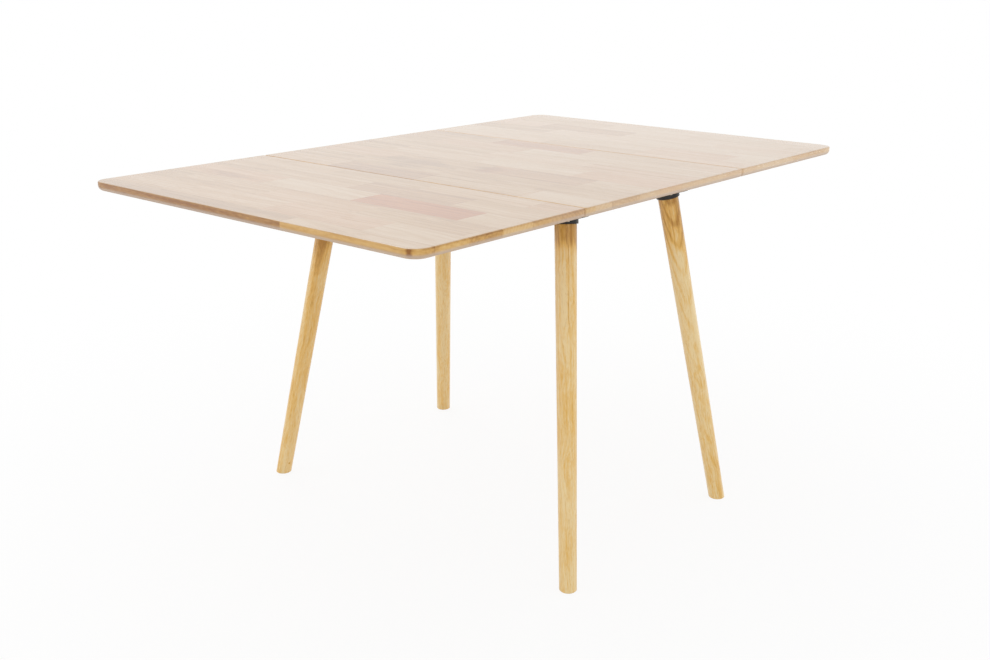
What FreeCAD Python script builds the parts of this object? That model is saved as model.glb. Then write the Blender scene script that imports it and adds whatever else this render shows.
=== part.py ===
"""Drop-leaf butterfly table: a fixed centre board on four splayed legs, and a hinged leaf on each side.

Axes: +X along the open table, +Y across it, +Z up, with the origin on the floor below the centre.
Each leaf turns down on three butt hinges. Two slotted stays per leaf run from a pivot under the leaf
to a shouldered stud on a bearer under the centre board. The pivot and the stud lie at one distance
from the hinge axis, so a stay turns by half the leaf's angle and its slot never leaves the stud.
"""
import FreeCAD
import Part
import Sketcher
import math
import os
import re

DOC = FreeCAD.newDocument("butterfly_table")
X_AXIS = FreeCAD.Vector(1, 0, 0)
Y_AXIS = FreeCAD.Vector(0, 1, 0)
Z_AXIS = FreeCAD.Vector(0, 0, 1)

# ------------------------------------------------------------ driving dimensions, millimetres and degrees
DIMENSIONS = {
    "table_height": 740,
    "top_length": 1372,
    "top_width": 868,
    "centre_length": 536,
    "board_thickness": 18,
    "seam_gap": 1,
    "corner_radius": 30,
    "seam_corner_round": 5,
    "top_edge_round": 2.5,
    "under_edge_round": 10,
    "centre_seam_round": 6,
    "foot_offset_x": 273.5,
    "foot_offset_y": 418.5,
    "leg_splay": 0.1477,
    "leg_length": 695,
    "leg_top_radius": 21,
    "foot_radius": 17,
    "foot_chamfer": 1.5,
    "leg_top_chamfer": 0.8,
    "batten_length": 450,
    "batten_width": 72,
    "batten_thickness": 24,
    "batten_corner": 12,
    "batten_edge_round": 5,
    "batten_screw_pitch": 100,
    "batten_counterbore": 14,
    "batten_pilot_depth": 18,
    "plate_side": 66,
    "plate_thickness": 4,
    "plate_corner": 8,
    "plate_screw_pitch": 48,
    "boss_radius": 24,
    "boss_rim": 1,
    "bolt_radius": 4,
    "bolt_depth": 46,
    "bearer_offset": 140,
    "bearer_length": 400,
    "bearer_thickness": 20,
    "bearer_depth": 91,
    "bearer_corner": 24,
    "arch_half_span": 142,
    "arch_rise": 38,
    "bearer_screw_offset": 50,
    "bearer_counterbore": 60,
    "hinge_length": 76,
    "hinge_leaf_width": 32,
    "hinge_leaf_thickness": 2,
    "hinge_offset_y": 315,
    "hinge_corner": 4,
    "knuckle_radius": 3,
    "knuckle_clearance": 0.4,
    "knuckle_gap": 0.25,
    "knuckle_end_cut": 0.5,
    "pin_radius": 1.5,
    "pin_head_radius": 2.6,
    "pin_head_length": 1.2,
    "running_clearance": 0.05,
    "hinge_screw_near": 16,
    "hinge_screw_far": 23,
    "hinge_screw_pitch": 27,
    "stay_radius": 125,
    "stay_drop_angle": 38,
    "stay_pivot_drop": 11,
    "stay_offset": 153,
    "stay_width": 20,
    "stay_thickness": 3,
    "stay_end_length": 4,
    "stud_radius": 3,
    "slot_clearance": 0.3,
    "slot_end_clearance": 0.8,
    "notch_depth": 3,
    "stud_collar_radius": 6,
    "stud_head_radius": 8,
    "stud_head_length": 4,
    "stud_thread_length": 14,
    "washer_gap": 0.3,
    "bracket_length": 46,
    "bracket_width": 24,
    "bracket_thickness": 2.5,
    "bracket_tab_radius": 9,
    "bracket_screw_pitch": 30,
    "rivet_head_radius": 5.5,
    "rivet_head_length": 2,
    "screw_radius": 1.75,
    "screw_head_radius": 3.75,
    "screw_hole_radius": 2.1,
    "screw_tip_radius": 0.3,
    "pilot_radius": 1.9,
    "pilot_depth": 13,
    "pilot_spare": 1,
    "head_edge": 1,
    "frame_screw_head_radius": 4.5,
    "frame_screw_head_length": 3,
    "counterbore_radius": 5.5,
}


def make_sheet():
    """Writes every driving dimension into the spreadsheet, with its alias."""
    sheet = DOC.addObject("Spreadsheet::Sheet", "Sizes")
    for row, (alias, size) in enumerate(DIMENSIONS.items(), start=1):
        sheet.set(f"A{row}", alias.replace("_", " "))
        sheet.set(f"B{row}", str(size))
        sheet.setAlias(f"B{row}", alias)
    DOC.recompute()
    return sheet


SHEET = make_sheet()

# ------------------------------------------------------------ derived formulas, shared by several pieces
HALF_CENTRE = "centre_length / 2"
HALF_WIDTH = "top_width / 2"
LEAF_LENGTH = "((top_length - centre_length) / 2 - seam_gap)"
KNUCKLES = 5
KNUCKLE_PITCH = f"hinge_length / {KNUCKLES}"
HINGE_REACH = "(knuckle_radius + knuckle_clearance)"
SLOT_RADIUS = "(stud_radius + slot_clearance)"
BRACKET_FACE = "(stay_offset - stay_thickness / 2 - washer_gap)"
BRACKET_RISE = "(stay_pivot_drop + hinge_leaf_thickness / 2)"
FLANGE_MIDDLE = "((bracket_width + bracket_thickness) / 2)"


def prefixed(formula):
    """Puts the spreadsheet's name before each alias in a formula."""
    return re.sub(r"[a-z]\w+", lambda word: in_sheet(word.group()), formula)


def in_sheet(word):
    return "Sizes." + word if word in DIMENSIONS else word


def number(formula):
    """The present value of a formula of spreadsheet aliases."""
    return float(SHEET.evalExpression(prefixed(str(formula))))


# ------------------------------------------------------------ places worked out from the dimensions
UNDERSIDE = number("table_height - board_thickness")
LEG_TILT = math.degrees(math.atan(number("leg_splay") * math.sqrt(2)))
PLATE_LEVEL = UNDERSIDE - number("batten_thickness + plate_thickness")
HINGE_X = number("centre_length / 2 + seam_gap / 2")
HINGE_LEVEL = UNDERSIDE - number("hinge_leaf_thickness / 2")
PIVOT_OUT = math.sqrt(number("stay_radius") ** 2 - number("stay_pivot_drop") ** 2)
PIVOT_LEVEL = HINGE_LEVEL - number("stay_pivot_drop")
STUD_IN = number("stay_radius") * math.cos(math.radians(number("stay_drop_angle")))
STUD_DROP = number("stay_radius") * math.sin(math.radians(number("stay_drop_angle")))
PIVOT_ANGLE = math.degrees(math.asin(number("stay_pivot_drop / stay_radius")))
OPEN_ANGLE = 180 - number("stay_drop_angle") - PIVOT_ANGLE
STAY_REACH_OPEN = 2 * number("stay_radius") * math.sin(math.radians(OPEN_ANGLE / 2))
STAY_REACH_FOLDED = 2 * number("stay_radius") * math.sin(math.radians((OPEN_ANGLE - 90) / 2))
STAY_SLOPE = math.degrees(math.atan2(STUD_DROP - number("stay_pivot_drop"), PIVOT_OUT + STUD_IN))
BATTEN_Y = f"(foot_offset_y - leg_splay * {PLATE_LEVEL})"
PLATE_X = f"(foot_offset_x - leg_splay * {PLATE_LEVEL})"
SIDES = {"left": -1, "right": 1}
ENDS = {"front": -1, "rear": 1}
CORNERS = [(end, side) for end in ENDS for side in SIDES]
HINGE_PLACES = {"front": -1, "middle": 0, "rear": 1}


# ------------------------------------------------------------ document helpers
def new_body(label):
    body = DOC.addObject("PartDesign::Body", label)
    body.Label = label
    return body


def new_sketch(body, name, plane="XY_Plane", offset=None):
    """A sketch on one of the body's own origin planes, moved by the placement offset where one is given."""
    sketch = body.newObject("Sketcher::SketchObject", name)
    support = [feature for feature in body.Origin.OriginFeatures if feature.Role == plane][0]
    sketch.AttachmentSupport = [(support, "")]
    sketch.MapMode = "FlatFace"
    if offset is not None:
        sketch.AttachmentOffset = offset
    return sketch


def raised(level):
    """An offset that lifts a sketch off its plane."""
    return FreeCAD.Placement(FreeCAD.Vector(0, 0, level), FreeCAD.Rotation())


def bind_constraint(sketch, constraint, formula):
    index = sketch.addConstraint(constraint)
    sketch.setExpression(f"Constraints[{index}]", prefixed(formula))


def pin_point(sketch, geometry, position, x, y):
    """Ties one point of a sketch to the formulas x and y, measured from the sketch's origin."""
    for kind, formula, axis in (("DistanceX", x, -2), ("DistanceY", y, -1)):
        size = number(formula)
        if abs(size) < 1e-9:
            sketch.addConstraint(Sketcher.Constraint("PointOnObject", geometry, position, axis))
        elif size > 0:
            bind_constraint(sketch, Sketcher.Constraint(kind, -1, 1, geometry, position, size), str(formula))
        else:
            bind_constraint(
                sketch, Sketcher.Constraint(kind, geometry, position, -1, 1, -size), f"-({formula})"
            )


def add_outline(sketch, corners):
    """Draws a closed outline. A corner is (x, y), or (x, y, radius, centre x, centre y) if an arc leaves it."""
    places = [FreeCAD.Vector(number(corner[0]), number(corner[1]), 0) for corner in corners]
    first = sketch.GeometryCount
    joints = []
    for i, corner in enumerate(corners):
        start = places[i]
        finish = places[(i + 1) % len(corners)]
        if len(corner) == 2:
            sketch.addGeometry(Part.LineSegment(start, finish), False)
            joints.append((1, 2))
        else:
            joints.append(add_arc(sketch, start, finish, corner))
    for i, corner in enumerate(corners):
        following = (i + 1) % len(corners)
        ends = (first + i, joints[i][1], first + following, joints[following][0])
        sketch.addConstraint(Sketcher.Constraint("Coincident", *ends))
        pin_point(sketch, first + i, joints[i][0], corner[0], corner[1])
        if len(corner) > 2:
            bind_constraint(sketch, Sketcher.Constraint("Radius", first + i, number(corner[2])), corner[2])


def add_arc(sketch, start, finish, corner):
    """Adds the arc that leaves a corner, and returns which of its ends comes first along the outline."""
    centre = FreeCAD.Vector(number(corner[3]), number(corner[4]), 0)
    circle = Part.Circle(centre, Z_AXIS, number(corner[2]))
    to_start = start - centre
    to_finish = finish - centre
    turns_left = to_start.cross(to_finish).z > 0
    low, high = (to_start, to_finish) if turns_left else (to_finish, to_start)
    low_angle = math.atan2(low.y, low.x)
    high_angle = math.atan2(high.y, high.x)
    sketch.addGeometry(Part.ArcOfCircle(circle, low_angle, high_angle), False)
    return (1, 2) if turns_left else (2, 1)


def add_rectangle(sketch, low_x, high_x, low_y, high_y):
    add_outline(sketch, [(low_x, low_y), (high_x, low_y), (high_x, high_y), (low_x, high_y)])


def add_circle(sketch, x, y, radius):
    circle = Part.Circle(FreeCAD.Vector(number(x), number(y), 0), Z_AXIS, number(radius))
    index = sketch.addGeometry(circle, False)
    pin_point(sketch, index, 3, x, y)
    bind_constraint(sketch, Sketcher.Constraint("Radius", index, number(radius)), radius)


def add_slot(sketch, start_x, end_x, radius):
    """A round-ended slot along the sketch's X axis, from centre to centre."""
    low, high, half = number(start_x), number(end_x), number(radius)
    first = sketch.GeometryCount
    quarter = math.pi / 2
    low_circle = Part.Circle(FreeCAD.Vector(low, 0, 0), Z_AXIS, half)
    high_circle = Part.Circle(FreeCAD.Vector(high, 0, 0), Z_AXIS, half)
    sketch.addGeometry(Part.ArcOfCircle(low_circle, quarter, 3 * quarter), False)
    sketch.addGeometry(Part.LineSegment(FreeCAD.Vector(low, -half, 0), FreeCAD.Vector(high, -half, 0)), False)
    sketch.addGeometry(Part.ArcOfCircle(high_circle, -quarter, quarter), False)
    sketch.addGeometry(Part.LineSegment(FreeCAD.Vector(high, half, 0), FreeCAD.Vector(low, half, 0)), False)
    for i in range(4):
        sketch.addConstraint(Sketcher.Constraint("Tangent", first + i, 2, first + (i + 1) % 4, 1))
    pin_point(sketch, first, 3, start_x, "0")
    pin_point(sketch, first + 2, 3, end_x, "0")
    bind_constraint(sketch, Sketcher.Constraint("Radius", first, half), radius)


def extrude(body, kind, sketch, length, symmetric, reverse):
    feature = body.newObject("PartDesign::" + kind, sketch.Name + "_" + kind.lower())
    feature.Profile = sketch
    if length is None:
        feature.Type = "ThroughAll"
    else:
        feature.Length = number(length)
        feature.setExpression("Length", prefixed(length))
    if symmetric:
        feature.SideType = "Symmetric"
    feature.Reversed = reverse
    sketch.Visibility = False
    DOC.recompute()
    return feature


def pad(body, sketch, length, symmetric=False, reverse=False):
    return extrude(body, "Pad", sketch, length, symmetric, reverse)


def pocket(body, sketch, length=None, symmetric=False, reverse=False):
    """Cuts a sketch out of the body, and stops if the cut takes nothing away."""
    before = body.Shape.Volume
    feature = extrude(body, "Pocket", sketch, length, symmetric, reverse)
    if body.Shape.Volume > before - 1e-3:
        raise RuntimeError(f"{sketch.Name} on {body.Label} cuts nothing")
    return feature


def dress(body, kind, base, test, size_property, formula):
    """Rounds or chamfers the edges of base that pass the test."""
    names = [f"Edge{i}" for i, edge in enumerate(base.Shape.Edges, start=1) if test(edge)]
    if not names:
        raise RuntimeError(f"no edge of {body.Label} matches")
    feature = body.newObject("PartDesign::" + kind, f"{body.Name}_{kind.lower()}")
    feature.Base = (base, names)
    setattr(feature, size_property, number(formula))
    feature.setExpression(size_property, prefixed(formula))
    DOC.recompute()
    return feature


def fillet(body, base, test, formula):
    return dress(body, "Fillet", base, test, "Radius", formula)


def chamfer(body, base, test, formula):
    return dress(body, "Chamfer", base, test, "Size", formula)


def runs_at(value, axis):
    """An edge test: the whole edge lies where the coordinate along axis has the value."""
    low = axis.upper() + "Min"
    high = axis.upper() + "Max"

    def test(edge):
        box = edge.BoundBox
        return abs(getattr(box, low) - value) < 0.01 and abs(getattr(box, high) - value) < 0.01

    return test


def upright(edge):
    """An edge test: a straight edge along Z."""
    box = edge.BoundBox
    return box.XLength < 0.01 and box.YLength < 0.01


def round_at(radius, level):
    """An edge test: a full circle of the radius, flat at the level."""
    level_test = runs_at(level, "z")

    def test(edge):
        return level_test(edge) and abs(edge.BoundBox.XLength - 2 * radius) < 0.02 and edge.isClosed()

    return test


def place(body, position, turn=0, tilt=0):
    """Sets a placement: tilted about its own Y axis, then turned about Z, then moved."""
    turned = FreeCAD.Rotation(Z_AXIS, turn).multiply(FreeCAD.Rotation(Y_AXIS, tilt))
    body.Placement = FreeCAD.Placement(FreeCAD.Vector(*position), turned)
    return body


def group(label, shapes):
    """One sub-part of several separate solids, for identical fasteners."""
    feature = DOC.addObject("Part::Feature", label)
    feature.Label = label
    feature.Shape = Part.makeCompound(shapes)
    return feature


def moved(shape, position, rotation=None):
    copy = shape.copy()
    copy.Placement = FreeCAD.Placement(FreeCAD.Vector(*position), rotation or FreeCAD.Rotation())
    return copy


# ------------------------------------------------------------ fasteners, turned solids along +Z from the head
def turned_solid(profile):
    """Revolves a half profile of (radius, height) points about Z."""
    points = [FreeCAD.Vector(radius, 0, height) for radius, height in profile]
    face = Part.Face(Part.makePolygon(points + points[:1]))
    return face.revolve(FreeCAD.Vector(0, 0, 0), Z_AXIS, 360)


def countersunk_screw(length):
    """A flat-headed wood screw: the head's face is at z = 0 and the shank points up."""
    shank, head = number("screw_radius"), number("screw_head_radius")
    point = 2 * shank
    return turned_solid([
        (0, 0),
        (head, 0),
        (shank, head - shank),
        (shank, length - point),
        (number("screw_tip_radius"), length),
        (0, length),
    ])


def frame_screw(length):
    """A pan-headed wood screw: the head's underside is at z = 0 and the shank points up."""
    shank = number("screw_radius")
    head, depth = number("frame_screw_head_radius"), number("frame_screw_head_length")
    edge = number("head_edge")
    point = 2 * shank
    return turned_solid([
        (0, -depth),
        (head - edge, -depth),
        (head, edge - depth),
        (head, 0),
        (shank, 0),
        (shank, length - point),
        (number("screw_tip_radius"), length),
        (0, length),
    ])


# ------------------------------------------------------------ boards of the top
def cut_seam_round(body, corners, radius):
    """Rounds the lower edge beside a seam: each corner is (x, direction in which the waste lies)."""
    sketch = new_sketch(body, body.Name + "_seam_round", "XZ_Plane")
    for x, way in corners:
        inner = f"{x} - ({way}) * {radius}"
        add_outline(sketch, [(x, "0"), (x, radius, radius, inner, radius), (inner, "0")])
    return pocket(body, sketch, symmetric=True)


def cut_seam_corners(body, corners):
    """Rounds a board's upright corners beside a seam: each is (x, y, waste's way in x, waste's way in y)."""
    sketch = new_sketch(body, body.Name + "_seam_corners")
    radius = "seam_corner_round"
    for x, y, way_x, way_y in corners:
        inner_x = f"{x} - ({way_x}) * {radius}"
        inner_y = f"{y} - ({way_y}) * {radius}"
        add_outline(sketch, [(inner_x, y, radius, inner_x, inner_y), (x, inner_y), (x, y)])
    return pocket(body, sketch, reverse=True)


def cut_pilot_holes(body, places, radius="pilot_radius", depth="pilot_depth"):
    """Drills blind holes up into the underside."""
    sketch = new_sketch(body, f"{body.Name}_pilot_{len(body.Group)}")
    for x, y in places:
        add_circle(sketch, x, y, radius)
    return pocket(body, sketch, depth, reverse=True)


def hinge_screw_places(seam, way):
    """Screw places under one board, way being +1 where the board lies on the seam's +X side."""
    places = []
    for row in HINGE_PLACES.values():
        middle = f"({row}) * hinge_offset_y"
        places.append((f"{seam} + ({way}) * hinge_screw_near", middle))
        places.append((f"{seam} + ({way}) * hinge_screw_far", f"{middle} - hinge_screw_pitch"))
        places.append((f"{seam} + ({way}) * hinge_screw_far", f"{middle} + hinge_screw_pitch"))
    return places


def frame_screw_places():
    """Where the screws of the battens and the bearers enter the centre board."""
    places = []
    for end in ENDS.values():
        for step in (-1, 0, 1):
            places.append((f"({step}) * batten_screw_pitch", f"({end}) * {BATTEN_Y}"))
        for step in (-1, 1):
            places.append((f"({step}) * bearer_screw_offset", f"({end}) * bearer_offset"))
    return places


def make_centre_board():
    body = new_body("centre_board")
    section = new_sketch(body, "centre_section", "YZ_Plane")
    add_rectangle(section, f"-{HALF_WIDTH}", HALF_WIDTH, "0", "board_thickness")
    base = pad(body, section, "centre_length", symmetric=True)
    half_width = number(HALF_WIDTH)
    underside = runs_at(0, "z")

    def long_edge(edge):
        return underside(edge) and abs(abs(edge.CenterOfMass.y) - half_width) < 0.01

    fillet(body, base, long_edge, "under_edge_round")
    cut_seam_round(body, [(HALF_CENTRE, 1), (f"-{HALF_CENTRE}", -1)], "centre_seam_round")
    corners = []
    for way in SIDES.values():
        for end in ENDS.values():
            corners.append((f"({way}) * {HALF_CENTRE}", f"({end}) * {HALF_WIDTH}", way, end))
    base = cut_seam_corners(body, corners)
    fillet(body, base, runs_at(number("board_thickness"), "z"), "top_edge_round")
    screws = frame_screw_places()
    screws += hinge_screw_places(f"({HALF_CENTRE} + seam_gap / 2)", -1)
    screws += hinge_screw_places(f"(-{HALF_CENTRE} - seam_gap / 2)", 1)
    cut_pilot_holes(body, screws)
    return place(body, (0, 0, UNDERSIDE))


def make_leaf(side):
    """A leaf drawn to the right of its seam, and turned half round for the left side."""
    body = new_body(f"{side}_leaf_board")
    outline = new_sketch(body, f"{side}_leaf_outline")
    inner_x = f"{LEAF_LENGTH} - corner_radius"
    inner_y = f"({HALF_WIDTH} - corner_radius)"
    add_outline(outline, [
        ("0", f"-{HALF_WIDTH}"),
        (inner_x, f"-{HALF_WIDTH}", "corner_radius", inner_x, f"-{inner_y}"),
        (LEAF_LENGTH, f"-{inner_y}"),
        (LEAF_LENGTH, inner_y, "corner_radius", inner_x, inner_y),
        (inner_x, HALF_WIDTH),
        ("0", HALF_WIDTH),
    ])
    base = pad(body, outline, "board_thickness")
    underside = runs_at(0, "z")
    seam_side = runs_at(0, "x")

    def lower_rim(edge):
        return underside(edge) and not seam_side(edge)

    fillet(body, base, lower_rim, "under_edge_round")
    cut_seam_round(body, [("0", -1)], "under_edge_round")
    base = cut_seam_corners(body, [("0", f"({end}) * {HALF_WIDTH}", -1, end) for end in ENDS.values()])
    fillet(body, base, runs_at(number("board_thickness"), "z"), "top_edge_round")
    screws = hinge_screw_places("(-seam_gap / 2)", 1)
    for end in ENDS.values():
        for step in (-1, 1):
            x = f"{PIVOT_OUT} - seam_gap / 2 + ({step}) * bracket_screw_pitch / 2"
            screws.append((x, f"({end}) * ({BRACKET_FACE} - {FLANGE_MIDDLE})"))
    cut_pilot_holes(body, screws)
    way = SIDES[side]
    x = way * (HINGE_X + number("seam_gap / 2"))
    return place(body, (x, 0, UNDERSIDE), turn=90 - 90 * way)


# ------------------------------------------------------------ battens and bearers under the centre board
def plate_place(end, side):
    """The point where a leg's axis meets the underside of its mounting plate."""
    inward = number("leg_splay") * PLATE_LEVEL
    x = SIDES[side] * (number("foot_offset_x") - inward)
    y = ENDS[end] * (number("foot_offset_y") - inward)
    return (x, y, PLATE_LEVEL)


def make_leg_batten(end):
    """The cross batten that two leg plates are screwed to, lying flat under the board."""
    body = new_body(f"{end}_leg_batten")
    outline = new_sketch(body, f"{end}_batten_outline")
    add_rectangle(outline, "-batten_length / 2", "batten_length / 2", "-batten_width / 2", "batten_width / 2")
    base = pad(body, outline, "batten_thickness")
    base = fillet(body, base, upright, "batten_corner")
    fillet(body, base, runs_at(0, "z"), "batten_edge_round")
    fixing = [(f"({step}) * batten_screw_pitch", "0") for step in (-1, 0, 1)]
    counterbores = new_sketch(body, f"{end}_batten_counterbores")
    clearances = new_sketch(body, f"{end}_batten_clearances")
    for x, y in fixing:
        add_circle(counterbores, x, y, "counterbore_radius")
        add_circle(clearances, x, y, "screw_hole_radius")
    pocket(body, counterbores, "batten_counterbore", reverse=True)
    pocket(body, clearances, reverse=True)
    pilots = []
    for side in SIDES.values():
        for step_x in (-1, 1):
            for step_y in (-1, 1):
                x = f"({side}) * {PLATE_X} + ({step_x}) * plate_screw_pitch / 2"
                pilots.append((x, f"({step_y}) * plate_screw_pitch / 2"))
    cut_pilot_holes(body, pilots, depth="batten_pilot_depth")
    y = ENDS[end] * number(BATTEN_Y)
    return place(body, (0, y, UNDERSIDE - number("batten_thickness")))


def make_stay_bearer(end):
    """The arched bearer on edge that carries the stay studs, drawn for the front and turned for the rear."""
    body = new_body(f"{end}_stay_bearer")
    outline = new_sketch(body, f"{end}_bearer_outline", "XZ_Plane")
    half = "bearer_length / 2"
    arch_radius = "((arch_half_span ^ 2 + arch_rise ^ 2) / (2 * arch_rise))"
    inner = f"{half} - bearer_corner"
    add_outline(outline, [
        (f"-({half})", "bearer_depth"),
        (f"-({half})", "bearer_corner", "bearer_corner", f"-({inner})", "bearer_corner"),
        (f"-({inner})", "0"),
        ("-arch_half_span", "0", arch_radius, "0", f"arch_rise - {arch_radius}"),
        ("arch_half_span", "0"),
        (inner, "0", "bearer_corner", inner, "bearer_corner"),
        (half, "bearer_corner"),
        (half, "bearer_depth"),
    ])
    pad(body, outline, "bearer_thickness", symmetric=True)
    counterbores = new_sketch(body, f"{end}_bearer_counterbores")
    clearances = new_sketch(body, f"{end}_bearer_clearances")
    for step in (-1, 1):
        add_circle(counterbores, f"({step}) * bearer_screw_offset", "0", "counterbore_radius")
        add_circle(clearances, f"({step}) * bearer_screw_offset", "0", "screw_hole_radius")
    pocket(body, counterbores, "bearer_counterbore", reverse=True)
    pocket(body, clearances, reverse=True)
    face = raised(number("bearer_thickness / 2"))
    studs = new_sketch(body, f"{end}_bearer_stud_bores", "XZ_Plane", face)
    for way in SIDES.values():
        x = f"({way}) * ({HALF_CENTRE} + seam_gap / 2 - {STUD_IN})"
        add_circle(studs, x, f"bearer_depth - hinge_leaf_thickness / 2 - {STUD_DROP}", "pilot_radius")
    pocket(body, studs, "stud_thread_length + pilot_spare")
    way = ENDS[end]
    y = way * number("bearer_offset")
    return place(body, (0, y, UNDERSIDE - number("bearer_depth")), turn=90 + 90 * way)


# ------------------------------------------------------------ legs, leg plates and hanger bolts
def leg_turn(end, side):
    """The turn that points a leg's own +X axis outwards along the diagonal."""
    return math.degrees(math.atan2(ENDS[end], SIDES[side]))


def place_on_leg(body, end, side):
    foot = (SIDES[side] * number("foot_offset_x"), ENDS[end] * number("foot_offset_y"), 0)
    return place(body, foot, turn=leg_turn(end, side), tilt=-LEG_TILT)


def make_leg(end, side):
    """A tapered round leg, drawn upright on its own axis and cut off level with the floor."""
    body = new_body(f"{end}_{side}_leg")
    profile = new_sketch(body, f"{end}_{side}_leg_profile", "XZ_Plane")
    add_outline(profile, [
        ("0", "-foot_radius / 2"),
        ("foot_radius", "-foot_radius / 2"),
        ("leg_top_radius", "leg_length"),
        ("bolt_radius", "leg_length"),
        ("bolt_radius", "leg_length - bolt_depth"),
        ("0", "leg_length - bolt_depth - bolt_radius / 2"),
    ])
    turned = body.newObject("PartDesign::Revolution", f"{end}_{side}_leg_turning")
    turned.Profile = profile
    turned.ReferenceAxis = (profile, ["V_Axis"])
    profile.Visibility = False
    DOC.recompute()
    floor = new_sketch(body, f"{end}_{side}_leg_floor", "XZ_Plane")
    reach = "2 * foot_radius"
    rise = f"({reach}) * {math.tan(math.radians(LEG_TILT))}"
    add_outline(floor, [
        (f"-({reach})", rise),
        (reach, f"-({rise})"),
        (reach, f"-({reach})"),
        (f"-({reach})", f"-({reach})"),
    ])
    base = pocket(body, floor, symmetric=True)
    near_floor = number("foot_radius") / 4

    def foot_rim(edge):
        return edge.isClosed() and abs(edge.CenterOfMass.z) < near_floor

    base = chamfer(body, base, foot_rim, "foot_chamfer")
    chamfer(body, base, round_at(number("leg_top_radius"), number("leg_length")), "leg_top_chamfer")
    return place_on_leg(body, end, side)


def boss_offset():
    """The tilted sketch plane at the top of the leg, seen from the plate's own frame."""
    drop = (number(PLATE_LEVEL) - number("leg_length") * math.cos(math.radians(LEG_TILT)))
    along = drop / math.cos(math.radians(LEG_TILT))
    tilt = FreeCAD.Rotation(Y_AXIS, -LEG_TILT)
    return FreeCAD.Placement(tilt.multVec(FreeCAD.Vector(0, 0, -along)), tilt)


def make_leg_plate(end, side):
    """The square mounting plate with its wedge-shaped round boss, which meets the leg square to its axis."""
    label = f"{end}_{side}_leg_plate"
    body = new_body(label)
    boss = new_sketch(body, label + "_boss", offset=boss_offset())
    add_circle(boss, "0", "0", "boss_radius")
    base = pad(body, boss, "plate_side / 2")
    rim_level = boss_offset().Base.z

    def rim(edge):
        return edge.isClosed() and abs(edge.CenterOfMass.z - rim_level) < 0.01

    fillet(body, base, rim, "boss_rim")
    level = new_sketch(body, label + "_level", offset=raised(number("plate_thickness")))
    add_rectangle(level, "-plate_side", "plate_side", "-plate_side", "plate_side")
    pocket(body, level, "plate_side", reverse=True)
    square = new_sketch(body, label + "_square")
    tip = "plate_side / sqrt(2)"
    add_outline(square, [(tip, "0"), ("0", tip), (f"-{tip}", "0"), ("0", f"-{tip}")])
    base = pad(body, square, "plate_thickness")
    to_corner = number(tip)

    def plate_edge(edge):
        middle = edge.CenterOfMass
        return upright(edge) and abs(math.hypot(middle.x, middle.y) - to_corner) < 0.1

    fillet(body, base, plate_edge, "plate_corner")
    holes = new_sketch(body, label + "_holes")
    offset = "plate_screw_pitch / sqrt(2)"
    for x, y in ((offset, "0"), ("0", offset), (f"-{offset}", "0"), ("0", f"-{offset}")):
        add_circle(holes, x, y, "screw_hole_radius")
    pocket(body, holes, reverse=True)
    thread = new_sketch(body, label + "_thread", offset=boss_offset())
    add_circle(thread, "0", "0", "bolt_radius")
    pocket(body, thread, reverse=True)
    x, y, z = plate_place(end, side)
    return place(body, (x, y, z), turn=leg_turn(end, side))


def make_hanger_bolts():
    """Double-ended bolts: screwed into the leg below, and into the plate's boss above."""
    length = number("leg_length")
    radius = number("bolt_radius")
    depth = number("bolt_depth")
    edge = number("head_edge")
    above = -boss_offset().Base.z / math.cos(math.radians(LEG_TILT)) + number("plate_thickness") / 2
    bolt = turned_solid([
        (0, length - depth - radius / 2),
        (radius, length - depth),
        (radius, length + above - edge),
        (radius - edge, length + above),
        (0, length + above),
    ])
    shapes = []
    for end, side in CORNERS:
        copy = bolt.copy()
        shapes.append(place_on_leg(copy, end, side))
    return group("leg_hanger_bolts", shapes)


def make_plate_screws():
    screw = frame_screw(number("batten_pilot_depth + plate_thickness - pilot_spare"))
    half = number("plate_screw_pitch") / 2
    shapes = []
    for end, side in CORNERS:
        x, y, z = plate_place(end, side)
        for step_x in (-half, half):
            for step_y in (-half, half):
                shapes.append(moved(screw, (x + step_x, y + step_y, z)))
    return group("leg_plate_screws", shapes)


def make_frame_screws():
    """The screws that hold the battens and the bearers up to the centre board."""
    batten_seat = UNDERSIDE - number("batten_thickness - batten_counterbore")
    bearer_seat = UNDERSIDE - number("bearer_depth - bearer_counterbore")
    bite = number("pilot_depth - pilot_spare")
    shapes = []
    for end in ENDS.values():
        for step in (-1, 0, 1):
            seat = (step * number("batten_screw_pitch"), end * number(BATTEN_Y), batten_seat)
            shapes.append(moved(frame_screw(UNDERSIDE - batten_seat + bite), seat))
        for step in (-1, 1):
            seat = (step * number("bearer_screw_offset"), end * number("bearer_offset"), bearer_seat)
            shapes.append(moved(frame_screw(UNDERSIDE - bearer_seat + bite), seat))
    return group("underframe_screws", shapes)


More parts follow.
